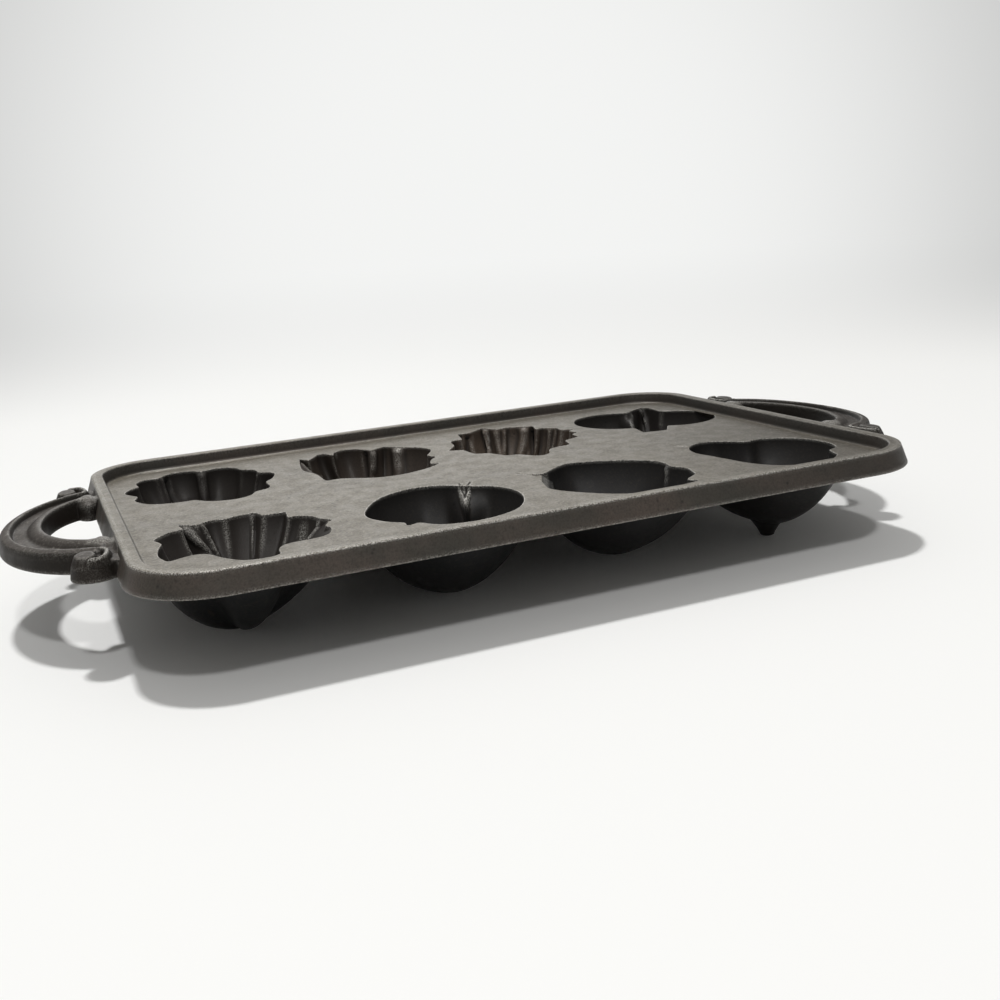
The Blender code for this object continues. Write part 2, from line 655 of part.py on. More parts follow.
def main():
    for old in list(bpy.data.objects):
        bpy.data.objects.remove(old)
    pan = collection("fruit_cornbread_pan")
    cutters = collection("cutters")

    worn_grey = (0.20, 0.19, 0.17)
    skirt_brown = (0.075, 0.062, 0.055)
    cup_brown = (0.055, 0.046, 0.041)

    moulds = make_moulds()
    places, half_x, half_y = lay_out(moulds)
    deck_top = Vector((0, 0, rim_top() - DECK_DROP))
    cavities = {}
    for name, mould in moulds.items():
        rings = shifted(mould.cavity_rings(), places[name] + deck_top)
        cavities[name] = as_helper(loft(name + "_cavity", rings, cutters))
    make_deck(half_x, half_y, cavities.values(), pan, iron("deck", worn_grey, 0.5))
    make_rim(half_x, half_y, pan, iron("rim", skirt_brown, 0.5))
    for name, mould in moulds.items():
        cup = make_mould(name, mould, places[name], cavities[name], pan, cutters)
        cup.data.materials.append(iron(name, cup_brown, 0.55))
    right = make_handle(half_x, half_y, pan, cutters)
    right.data.materials.append(iron("right_handle", skirt_brown, 0.5))
    left = turned_copy(right, "left_handle", pan)
    left.data.materials[0] = iron("left_handle", skirt_brown, 0.5)


main()
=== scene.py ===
"""Looks of the cast iron fruit cornbread pan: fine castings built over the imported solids.

Everything is in metres in the frame of the solids: the pan stands on z = 0, its length runs along X
and its front faces -Y. Each fine piece stands for one solid of the same name.
"""

from dataclasses import dataclass
from math import asin, cos, pi, radians, sin

import bmesh
import bpy
import numpy as np
from mathutils import Matrix, Vector
from mathutils.geometry import delaunay_2d_cdt


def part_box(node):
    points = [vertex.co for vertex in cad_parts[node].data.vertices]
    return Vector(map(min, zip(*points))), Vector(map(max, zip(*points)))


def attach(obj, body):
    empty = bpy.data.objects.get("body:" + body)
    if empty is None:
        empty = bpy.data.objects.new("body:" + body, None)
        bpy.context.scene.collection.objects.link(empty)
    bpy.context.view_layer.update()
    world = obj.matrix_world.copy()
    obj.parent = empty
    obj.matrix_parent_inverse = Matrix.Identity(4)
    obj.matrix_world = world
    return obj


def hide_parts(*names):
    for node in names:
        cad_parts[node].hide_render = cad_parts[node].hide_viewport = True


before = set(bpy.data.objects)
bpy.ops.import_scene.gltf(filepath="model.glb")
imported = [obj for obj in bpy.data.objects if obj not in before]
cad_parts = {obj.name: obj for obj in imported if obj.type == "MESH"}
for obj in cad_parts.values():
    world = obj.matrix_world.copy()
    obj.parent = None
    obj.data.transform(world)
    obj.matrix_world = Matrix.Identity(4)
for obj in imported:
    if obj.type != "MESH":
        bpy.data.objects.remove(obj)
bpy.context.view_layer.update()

MM = 0.001

# Tray, as the solids have it
PART_GAP = 0.3 * MM
RIM_WIDTH = 5.5 * MM
RIM_INNER_DRAFT = 0.8 * MM
RIM_FLARE = 2.6 * MM
RIM_CORNER_RADIUS = 30 * MM
deck_low, deck_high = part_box("deck")
rim_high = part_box("rim")[1]
HALF_X = deck_high.x + PART_GAP
HALF_Y = deck_high.y + PART_GAP
DECK_TOP = deck_high.z
DECK_BOTTOM = deck_low.z
DECK_THICKNESS = DECK_TOP - DECK_BOTTOM
RIM_TOP = rim_high.z
RIM_OUT = RIM_INNER_DRAFT + RIM_WIDTH

# Fine forms of the tray
RIM_FILLET = 1.6 * MM
RIM_ROUND = 0.9 * MM
SKIRT_ROUND = 0.8 * MM
RIM_STEP = 3 * MM
CORNER_STEPS = 24
PROFILE_STEPS = 6
RIM_FOOT = 3.4 * MM
FOOT_BEAD = 0.7 * MM
# Painted highlight along the bead at the wall's foot, and painted glints with some rubbed metal on the
# border's top edges
BEAD_HIGHLIGHT = 0.45
EDGE_WEAR_AND_GLINT = (0.3, 0.7, 1, 0.85, 0.45, 0.1)
TOP_WEAR_AND_GLINT = ((0, 0.2), (1.2 * MM, 0.55))
# Painted shade on the border's inner wall
WALL_PAINTED_SHADE = 0.5
DECK_GRID = 2.2 * MM
FLAT_RING = 0.15 * MM
DECK_WAVE = 0.09 * MM
SMOOTH_ANGLE = radians(50)

# Moulds, with the pitches and the wall as the solids have them
COLUMN_PITCH = 79.99 * MM
ROW_PITCH = 106.86 * MM
MOULD_WALL = 3.6 * MM
OUTLINE_POINTS = 320
OUTLINE_ROUND = 0.9 * MM
HOLE_ROUND = 0.5 * MM
CUP_ROUND = 4.4 * MM
LIP_ROUND = 0.5 * MM
LIP_STEPS = 5
WALL_ROWS = 70
CUP_ROWS = 26
CUP_FILLET = 1.4 * MM
MOULD_CELL = 0.6 * MM
BULGE_GAIN = 12

# Outlines of the fruits, in millimetres about each mould's place, where a third value marks a corner
CORNER = 1
GRAPE_OUTLINE = (
    (-31, 0.5), (-32, -9.5), (-30, -18.5, CORNER), (-18, -15.5), (-10.5, -27.5), (-4.5, -34.5),
    (6.5, -34.5), (8.5, -26.5), (12.5, -21.5), (20.5, -20.5), (28.5, -18.5), (32.5, -10.5),
    (31.5, -4, CORNER), (36.5, 2.5, CORNER), (32.5, 8, CORNER), (30.5, 14.5), (26, 18),
    (22, 18, CORNER), (23.5, 28.5, CORNER), (14, 28.5, CORNER), (12.5, 35.5, CORNER), (4, 35),
    (-0.5, 32.5, CORNER), (-6, 34.5), (-12.5, 30.5, CORNER), (-19, 35.5, CORNER),
    (-18, 27.5, CORNER), (-24, 25.5), (-31, 17, CORNER), (-28.5, 9, CORNER),
)
APPLE_OUTLINE = (
    (-30.5, -2), (-26.5, -14), (-20.5, -20.5, CORNER), (-21.5, -25.5, CORNER), (-16, -23.5, CORNER),
    (-10, -31.5), (2, -35), (14, -33), (25, -26.5), (33.5, -12), (35.5, 3), (31, 14.5),
    (24.5, 20, CORNER), (19.5, 25, CORNER), (12.5, 31), (1, 33.5), (-14.5, 27), (-25.5, 12.5),
)
POMEGRANATE_OUTLINE = (
    (-31, -7), (-21, -24.5), (-9, -35), (5, -37), (17, -34.5, CORNER), (25.2, -33, CORNER),
    (21.5, -29, CORNER), (23, -27, CORNER), (30.2, -21.8, CORNER), (31.5, -17.5, CORNER),
    (33, -10.5), (29.5, -2, CORNER), (31, 6), (28, 15), (18, 24), (6, 31), (-4, 33.5), (-14, 27.5),
    (-21.5, 22.5), (-26, 24.5, CORNER), (-26.5, 16), (-29, 5),
)
PEAR_OUTLINE = (
    (-20.5, -18.5), (-15.5, -29), (-8, -35), (1, -37.5), (11, -36), (18.5, -30.5, CORNER),
    (21.5, -21, CORNER), (29, -16.5), (32.5, -4), (29.5, 9.5), (22.5, 17.5), (14, 21.5),
    (7, 20.5), (0, 26), (-6.5, 31.5), (-14.5, 32), (-23, 25), (-26.5, 14), (-24.5, 3), (-22.5, -8),
)
BRAMBLE_OUTLINE = (
    (-32, 6), (-27.5, -4.5, CORNER), (-29.5, -14), (-24, -25), (-14, -29.5), (-5.5, -29.5, CORNER),
    (-1, -36), (8.5, -40), (17, -37), (20.5, -30.5, CORNER), (28, -26.5), (29, -13.5, CORNER),
    (34, -6), (36.5, 5), (30.5, 11, CORNER), (30, 19), (24.5, 24.5, CORNER), (23, 31),
    (15.5, 36.5), (6.5, 34, CORNER), (2, 39), (-7, 40), (-14, 32.5, CORNER), (-21, 33),
    (-25, 27), (-24.5, 18.5, CORNER), (-30, 13),
)
STRAWBERRY_OUTLINE = (
    (-29.5, -1), (-26.5, -13), (-26.5, -31, CORNER), (-19.5, -31), (-11.5, -36), (-4.5, -40.5),
    (5.5, -42), (15.5, -39.5), (22.5, -36.5, CORNER), (30, -30.5, CORNER), (25.5, -28.5, CORNER),
    (28.5, -21), (33.5, -15, CORNER), (31, -8.5, CORNER), (36.8, 1.5, CORNER), (38, 7), (35, 15.5),
    (29, 21, CORNER), (21, 31, CORNER), (12.5, 25, CORNER), (8, 33), (2, 37), (-4.5, 33.5),
    (-7.5, 26, CORNER), (-12, 34), (-17.5, 27.5), (-21.5, 22, CORNER), (-24.5, 29, CORNER), (-28, 12),
)
PINEAPPLE_OUTLINE = (
    (-36, -5, CORNER), (-29.5, -8, CORNER), (-28.5, -22, CORNER), (-22, -25.5, CORNER),
    (-18, -36.5, CORNER), (-12, -38, CORNER), (-5, -47.5), (1, -45), (6, -36), (18.5, -33, CORNER),
    (21, -22, CORNER), (31.5, -17, CORNER), (31.5, -9, CORNER), (36.5, -6, CORNER), (34, 0, CORNER),
    (39, 3, CORNER), (32.5, 6, CORNER), (33.5, 12, CORNER), (27, 19, CORNER), (23, 17, CORNER),
    (26, 27.5, CORNER), (13, 34), (7, 32.5, CORNER), (2, 43, CORNER), (-9, 34, CORNER),
    (-15.5, 35, CORNER), (-19, 19, CORNER), (-25, 19), (-28.5, 6, CORNER),
)
CHERRY_OUTLINE = (
    (-35, 8), (-32, -3), (-25, -12), (-15.5, -18, CORNER), (-18, -31, CORNER), (-6, -34, CORNER),
    (0.5, -24, CORNER), (10, -29), (22, -28), (32.5, -20.5), (37, -8), (34.5, 6), (27, 13.5),
    (21.5, 17.5, CORNER), (21, 35), (14, 33), (4.5, 26.5, CORNER), (-4, 31.5), (-14.5, 32.5),
    (-26, 28), (-33, 18),
)

# Feet
FOOT_TIP = 3.2 * MM
FOOT_ROOT = 8 * MM
FOOT_RISE = 8.5 * MM
FOOT_COVER = 1.2 * MM
FOOT_BEVEL = (0.5 * MM, 0.4 * MM)

# Handles, in millimetres, as the solids have them, with places as (out from the wall, along it)
HANDLE_REACH = 40.6
HANDLE_SPAN = 113
HANDLE_HALF = 80
HANDLE_THICKNESS = 9.5
HANDLE_DROP = 0.3
HANDLE_TOP = RIM_TOP / MM - HANDLE_DROP
HANDLE_FALL = 1.9
HANDLE_DRAFT = 1.2
BAND_WIDTH = 15.8
OUTER_RIDGE = 4
INNER_RIDGE = 6.2
GROOVE_DEPTH = 3.2
BAND_STEPS = 90
SCROLL_RADIUS = 7.3
SCROLL_RELIEF = 2.5
SCROLL_ALONG = HANDLE_SPAN / 2 + 4.5
SCROLL_STAND_OFF = 9.3
EYE_PLACE = (12.2, 60.2)
EYE_STRETCH = 1.5
HOOK_LINE = ((13, 51.6), (9, 53), (5.6, 54), (4.2, 56.8), (4.6, 61.6), (6, 66), (8.2, 68), (10.6, 67.4))
BUD_PLACE = (4.6, 41.2)
BUD_SIZE = (9, 16.6, 8)
ROOT_DEPTH = 9.8
ROOT_INNER_FLARE = 5.5
ROOT_BESIDE_SCROLL = 3
ROOT_OUTER_FLARE = 3.5
WALL_OVERLAP = 2
WALL_FILLET = 2
HANDLE_CELL = 0.42
SMOOTH_PASSES = 2

# Stems engraved in the deck, in millimetres
STEM_LINES = (
    ((17, -33), (10, -23)), ((98, -24), (95, -20)),
    ((-19.4, -27.1), (-19, -24.8)), ((-16.7, -29.4), (-13.8, -24.8)),
)
STEM_WIDTH = 0.7
STEM_DEPTH = 0.5
# Painted highlight along the stems' edges
STEM_HIGHLIGHT = 0.8

# Camera and light
CAMERA_PLACE = (-188.37 * MM, -480.43 * MM, 148.66 * MM)
CAMERA_HEADING = radians(67.557)
CAMERA_TILT = radians(-13.75)
CAMERA_ROLL = radians(-4.016)
AHEAD = (cos(CAMERA_HEADING), sin(CAMERA_HEADING), 0)
LENS = 40.84
SENSOR_WIDTH = 36
BACKGROUND = (0.9, 0.905, 0.895)
BACKDROP_SPREAD = (cos(radians(30)), 1.0)
BACKDROP_DIM = 0.62
WINDOW_HEADING = radians(76)
WINDOW_HEIGHT = radians(24)
WINDOW_SPREAD = (cos(radians(27)), 1.0)
WINDOW_GLOW = (0.25, 1.9)
ROOM_GLOW = 0.3
ROOM_WHITE = (1, 0.99, 0.97)
TABLE_WHITE = (0.9, 0.9, 0.885)
TABLE_RADIUS = 4
LAMPS = (("key", (-0.14, 0.54, 3.15), 0.26, 62), ("fill", (-0.3, -2.15, 3.0), 0.3, 31))

# Colours of the iron
SKIRT_BROWN = (0.070, 0.055, 0.045)
CUP_BROWN = (0.012, 0.012, 0.013)
HANDLE_BROWN = (0.019, 0.015, 0.0125)
# Paler greys for what faces up near the top of the tray and the handles: painted light, with some rubbed
# metal
LIT_AND_WORN_GREY = (0.186, 0.165, 0.130)
HANDLE_GREY = (0.080, 0.070, 0.062)
PALE_BROWN = (0.106, 0.079, 0.060)
# Painted shade that darkens the pan towards its right end
PAINTED_END_SHADE = (0.02, 0.018, 0.016)
# Painted shade, laid in creases, in the stem grooves and on the border's inner wall
PAINTED_SHADE_BLACK = (0.014, 0.012, 0.010)
GRAIN_BROWN = (0.02, 0.016, 0.013)
FLECK_BROWN = (0.03, 0.026, 0.021)
FLECK_GREY = (0.55, 0.52, 0.46)
PIT_BLACK = (0.012, 0.011, 0.010)
# Painted glints and rubbed bright metal
BARE_IRON_AND_GLINT = (0.62, 0.60, 0.55)


# Meshes

def place_object(name, data):
    made = bpy.data.objects.new(name, data)
    bpy.context.scene.collection.objects.link(made)
    return made


def make_object(name, verts, faces, wear_and_glint=None):
    """A smooth-shaded mesh object with faces pointing out and each vertex's share of painted glint and
    rubbed bright metal.
    """
    mesh = bpy.data.meshes.new(name)
    mesh.from_pydata([tuple(v) for v in verts], [], faces)
    bm = bmesh.new()
    bm.from_mesh(mesh)
    bmesh.ops.recalc_face_normals(bm, faces=bm.faces)
    bm.to_mesh(mesh)
    bm.free()
    finish_mesh(mesh, wear_and_glint)
    return place_object(name, mesh)


def finish_mesh(mesh, wear_and_glint):
    mesh.shade_smooth()
    mesh.set_sharp_from_angle(angle=SMOOTH_ANGLE)
    if wear_and_glint is not None:
        mark_mesh(mesh, "wear_and_glint", wear_and_glint)


def mark_mesh(mesh, name, values):
    attribute = mesh.attributes.get(name) or mesh.attributes.new(name, "FLOAT", "POINT")
    attribute.data.foreach_set("value", np.asarray(values, np.float32))


def rows_of(items, name, width=3, kind=float):
    """A property of each vertex, edge or attribute value of a mesh, one row each."""
    values = np.zeros(len(items) * width, kind)
    items.foreach_get(name, values)
    return values.reshape(-1, width)


def ring_faces(count, rows, looped=False):
    """Quads between rows of a loft, each row being a closed ring of count points."""
    faces = []
    for row in range(rows if looped else rows - 1):
        low = row * count
        high = (row + 1) % rows * count
        for i in range(count):
            j = (i + 1) % count
            faces.append((low + i, low + j, high + j, high + i))
    return faces


def loft(name, rings, wear_and_glint, looped=False):
    """A closed solid through rings of equal count, its ends closed by fans, or joined into a loop."""
    count = len(rings[0])
    verts = np.concatenate(rings)
    marks = np.concatenate([np.broadcast_to(mark, count) for mark in wear_and_glint])
    faces = ring_faces(count, len(rings), looped)
    if not looped:
        first = len(verts)
        verts = np.concatenate([verts, rings[0].mean(0)[None], rings[-1].mean(0)[None]])
        marks = np.concatenate([marks, [wear_and_glint[0], wear_and_glint[-1]]])
        start = (len(rings) - 1) * count
        for i in range(count):
            j = (i + 1) % count
            faces.append((first, j, i))
            faces.append((first + 1, start + i, start + j))
    return make_object(name, verts, faces, marks)


# Lines

def closed_line(knots, count):
    """A closed line through the knots, smooth but at corners, as count points at even distances."""
    dense = []
    total = len(knots)
    places = np.array([knot[:2] for knot in knots], float)
    corners = [len(knot) == 3 for knot in knots]
    t = np.arange(0, 1, 1 / 24)[:, None]
    for i in range(total):
        before, a, b, after = places[[i - 1, i, (i + 1) % total, (i + 2) % total]]
        chord = np.linalg.norm(b - a)
        leave = b - a if corners[i] else unit(b - before) * chord
        arrive = b - a if corners[(i + 1) % total] else unit(after - a) * chord
        dense.append(
            a * (2 * t**3 - 3 * t**2 + 1)
            + leave * (t**3 - 2 * t**2 + t)
            + b * (3 * t**2 - 2 * t**3)
            + arrive * (t**3 - t**2)
        )
    return spread_evenly(np.concatenate(dense) * MM, count)


def unit(vector):
    return vector / np.linalg.norm(vector)


def spread_evenly(line, count):
    """The closed line as count points at even distances."""
    around = np.concatenate([line, line[:1]])
    lengths = np.linalg.norm(np.diff(around, axis=0), axis=1)
    reached = np.concatenate([[0], np.cumsum(lengths)])
    places = np.arange(count) / count * reached[-1]
    return np.stack([np.interp(places, reached, around[:, k]) for k in range(2)], axis=1)


def softened(line, distance):
    """The closed line with its corners rounded over about the distance."""
    step = np.linalg.norm(line - np.roll(line, 1, 0), axis=1).mean()
    passes = max(1, round(2 * (distance / step) ** 2))
    for _ in range(passes):
        line = (np.roll(line, 1, 0) + 2 * line + np.roll(line, -1, 0)) / 4
    return line


def outward(line):
    """Unit normals of an anticlockwise closed line, pointing out."""
    along = np.roll(line, -1, 0) - np.roll(line, 1, 0)
    normal = np.stack([along[:, 1], -along[:, 0]], axis=1)
    return normal / np.linalg.norm(normal, axis=1)[:, None]


def at_height(line, z):
    return np.column_stack([line, np.full(len(line), z)])


def inside(line, places):
    """Whether each place lies within the closed line, by counting the sides that it has to its right."""
    found = np.zeros(len(places), bool)
    low = line.min(0)
    high = line.max(0)
    near = np.where(((places > low) & (places < high)).all(1))[0]
    x, y = places[near].T
    crossed = np.zeros(len(near), int)
    for a, b in zip(line, np.roll(line, -1, 0)):
        spans = (a[1] > y) != (b[1] > y)
        reach = a[0] + (y - a[1]) * (b[0] - a[0]) / (b[1] - a[1] if b[1] != a[1] else 1)
        crossed += spans & (x < reach)
    found[near] = crossed % 2 == 1
    return found


def undulation(x, y):
    """Slight unevenness of the cast deck."""
    return DECK_WAVE * (
        np.sin(x / (23 * MM) + 1.3) * np.sin(y / (19 * MM) + 0.4)
        + 0.6 * np.sin(x / (11 * MM) + y / (14 * MM))
    )


# Blends

def low_of(a, b, blend):
    """The lower of two values, with a fillet where they meet."""
    share = held(0.5 + 0.5 * (b - a) / blend)
    return b * (1 - share) + a * share - blend * share * (1 - share)


def high_of(a, b, blend):
    return -low_of(-a, -b, blend)


def held(value):
    """The value held between 0 and 1."""
    return np.clip(value, 0, 1)


def ease(value, low, high):
    """0 below the low value and 1 above the high one, with a smooth rise between them."""
    share = held((value - low) / (high - low))
    return share * share * (3 - 2 * share)


# Tray

def rounded_rectangle(half_x, half_y, radius):
    """Points round a rounded rectangle, anticlockwise, with steps along its straight sides too."""
    corners = []
    for quarter, (sx, sy) in enumerate(((1, 1), (-1, 1), (-1, -1), (1, -1))):
        for step in range(CORNER_STEPS + 1):
            angle = (quarter + step / CORNER_STEPS) * pi / 2
            corners.append((sx * (half_x - radius) + radius * cos(angle),
                            sy * (half_y - radius) + radius * sin(angle)))
    corners = np.array(corners)
    line = []
    for a, b in zip(corners, np.roll(corners, -1, 0)):
        pieces = max(1, round(np.linalg.norm(b - a) / RIM_STEP))
        for k in range(pieces):
            line.append(a + (b - a) * k / pieces)
    return np.array(line)


def rounding(centre, radius, start, way, wear_and_glint):
    """Points of a quarter circle from a heading in degrees, either way round, with their share of painted
    glint and rubbed bright metal.
    """
    headings = np.radians(start + way * np.linspace(0, 90, len(EDGE_WEAR_AND_GLINT)))
    return [
        (centre[0] + radius * cos(heading), centre[1] + radius * sin(heading), wear_and_glint * mark)
        for heading, mark in zip(headings, EDGE_WEAR_AND_GLINT)
    ]


def rim_profile():
    """The border's section as (distance out from the deck's nominal edge, height, share of painted
    highlight and rubbed bright metal).
    """
    profile = [(-RIM_FOOT - FLAT_RING, DECK_TOP, 0)]
    for share in np.arange(PROFILE_STEPS + 1) / PROFILE_STEPS:
        out = -RIM_FOOT + (RIM_FOOT - RIM_FILLET) * share
        bead = sin(pi * share)
        profile.append((out, DECK_TOP + FOOT_BEAD * bead, BEAD_HIGHLIGHT * bead))
    profile += rounding((-RIM_FILLET, DECK_TOP + RIM_FILLET), RIM_FILLET, -90, 1, 0)[1:]
    wall_end = RIM_TOP - RIM_ROUND
    profile += rounding((RIM_INNER_DRAFT + RIM_ROUND, wall_end), RIM_ROUND, 180, -1, 0.4)
    middle = (RIM_INNER_DRAFT + RIM_OUT) / 2
    profile += [(middle + out, RIM_TOP, mark) for out, mark in TOP_WEAR_AND_GLINT]
    profile += rounding((RIM_OUT - RIM_ROUND, wall_end), RIM_ROUND, 90, -1, 1)
    for share in np.arange(1, PROFILE_STEPS) / PROFILE_STEPS:
        height = wall_end + (DECK_BOTTOM + SKIRT_ROUND - wall_end) * share
        profile.append((RIM_OUT + RIM_FLARE * share, height, 0))
    skirt = RIM_OUT + RIM_FLARE - SKIRT_ROUND
    profile += rounding((skirt, DECK_BOTTOM + SKIRT_ROUND), SKIRT_ROUND, 0, -1, 0.6)
    return profile + [(RIM_OUT / 2, DECK_BOTTOM, 0), (-RIM_FILLET, DECK_BOTTOM, 0)]


def make_rim():
    """The raised border with its skirt, one section carried round the deck."""
    rings = []
    wear_and_glint = []
    painted_shade = []
    base = rounded_rectangle(HALF_X, HALF_Y, RIM_CORNER_RADIUS - RIM_OUT)
    normals = outward(base)
    far_side = ease(normals[:, 1], 0.7, 0.98)
    for out, height, mark in rim_profile():
        # Painted shade on the border's inner wall
        on_wall = out < RIM_ROUND and DECK_TOP + RIM_FILLET / 2 < height < RIM_TOP - RIM_ROUND / 2
        painted_shade.append(WALL_PAINTED_SHADE * on_wall)
        if out < -RIM_FILLET:
            height = DECK_TOP + (height - DECK_TOP) * far_side
            mark = mark * far_side
        ring = at_height(base + normals * out, height)
        if out <= -RIM_FILLET and np.min(height) > DECK_BOTTOM:
            ring[:, 2] += undulation(ring[:, 0], ring[:, 1])
        rings.append(ring)
        wear_and_glint.append(mark)
    rim = loft("rim_casting", rings, wear_and_glint, looped=True)
    mark_mesh(rim.data, "painted_shade", np.repeat(painted_shade, len(base)))
    return rim


def stem_places():
    """Rows of points along each engraved stem, on its middle and its sides."""
    places = []
    for start, end in STEM_LINES:
        along = np.subtract(end, start)
        across = unit(np.array([-along[1], along[0]])) * STEM_WIDTH
        for share in np.linspace(0, 1, 24):
            for side in (-1, -0.5, 0, 0.5, 1):
                places.append((start + along * share + across * side) * MM)
    return places


def stem_gap(places):
    """Distance of each plan place to the nearest engraved stem, in millimetres."""
    return np.min([distance_to_path(places[None] / MM, line)[0] for line in STEM_LINES], axis=0)


def deck_plan(hole_lines):
    """Points and triangles of the plate, which meets every lip and the border's fillet edge to edge."""
    edge = rounded_rectangle(HALF_X, HALF_Y, RIM_CORNER_RADIUS - RIM_OUT)
    edge = edge - outward(edge) * (RIM_FOOT + FLAT_RING)
    lines = [edge, *hole_lines]
    points = [Vector(p) for line in lines for p in line]
    sides = []
    first = 0
    for line in lines:
        count = len(line)
        sides += [(first + i, first + (i + 1) % count) for i in range(count)]
        first += count
    fence = np.concatenate(lines)
    xs = np.arange(-HALF_X, HALF_X, DECK_GRID)
    ys = np.arange(-HALF_Y, HALF_Y, DECK_GRID)
    for k, y in enumerate(ys):
        row = np.column_stack([xs + DECK_GRID / 2 * (k % 2), np.full(len(xs), y)])
        gaps = np.abs(row[:, None] - fence[None]).max(2).min(1)
        points += [Vector(p) for p, gap in zip(row, gaps) if gap > DECK_GRID * 0.35]
    points += [Vector(p) for p in stem_places()]
    out = delaunay_2d_cdt(points, sides, [], 1, 1e-7)
    flat = np.array([tuple(p) for p in out[0]])
    triangles = np.array([tuple(face) for face in out[2]])
    centres = flat[triangles].mean(1)
    open_there = np.zeros(len(triangles), bool)
    for line in hole_lines:
        open_there |= inside(line, centres)
    used, numbers = np.unique(triangles[~open_there], return_inverse=True)
    return flat[used], [tuple(face) for face in numbers.reshape(-1, 3).tolist()]


def make_deck(hole_lines):
    """The plate inside the border, with the stems engraved in its top."""
    flat, triangles = deck_plan(hole_lines)
    count = len(flat)
    gap = stem_gap(flat)
    # Painted shade in the engraved stems, and a painted highlight along their edges
    groove = 1 - ease(gap, 0, STEM_WIDTH)
    border = 1 - ease(np.abs(gap - STEM_WIDTH), 0.1, 0.35)
    height = DECK_TOP + undulation(flat[:, 0], flat[:, 1]) - STEM_DEPTH * MM * groove
    verts = np.concatenate([at_height(flat, height), at_height(flat, DECK_BOTTOM)])
    faces = triangles + [tuple(count + i for i in reversed(face)) for face in triangles]
    directed = {(face[i - 1], face[i]) for face in triangles for i in range(3)}
    faces += [(b, a, count + a, count + b) for a, b in directed if (b, a) not in directed]
    deck = make_object("deck_casting", verts, faces, STEM_HIGHLIGHT * np.tile(border, 2))
    mark_mesh(deck.data, "painted_shade", np.tile(groove, 2))
    return deck


# Moulds

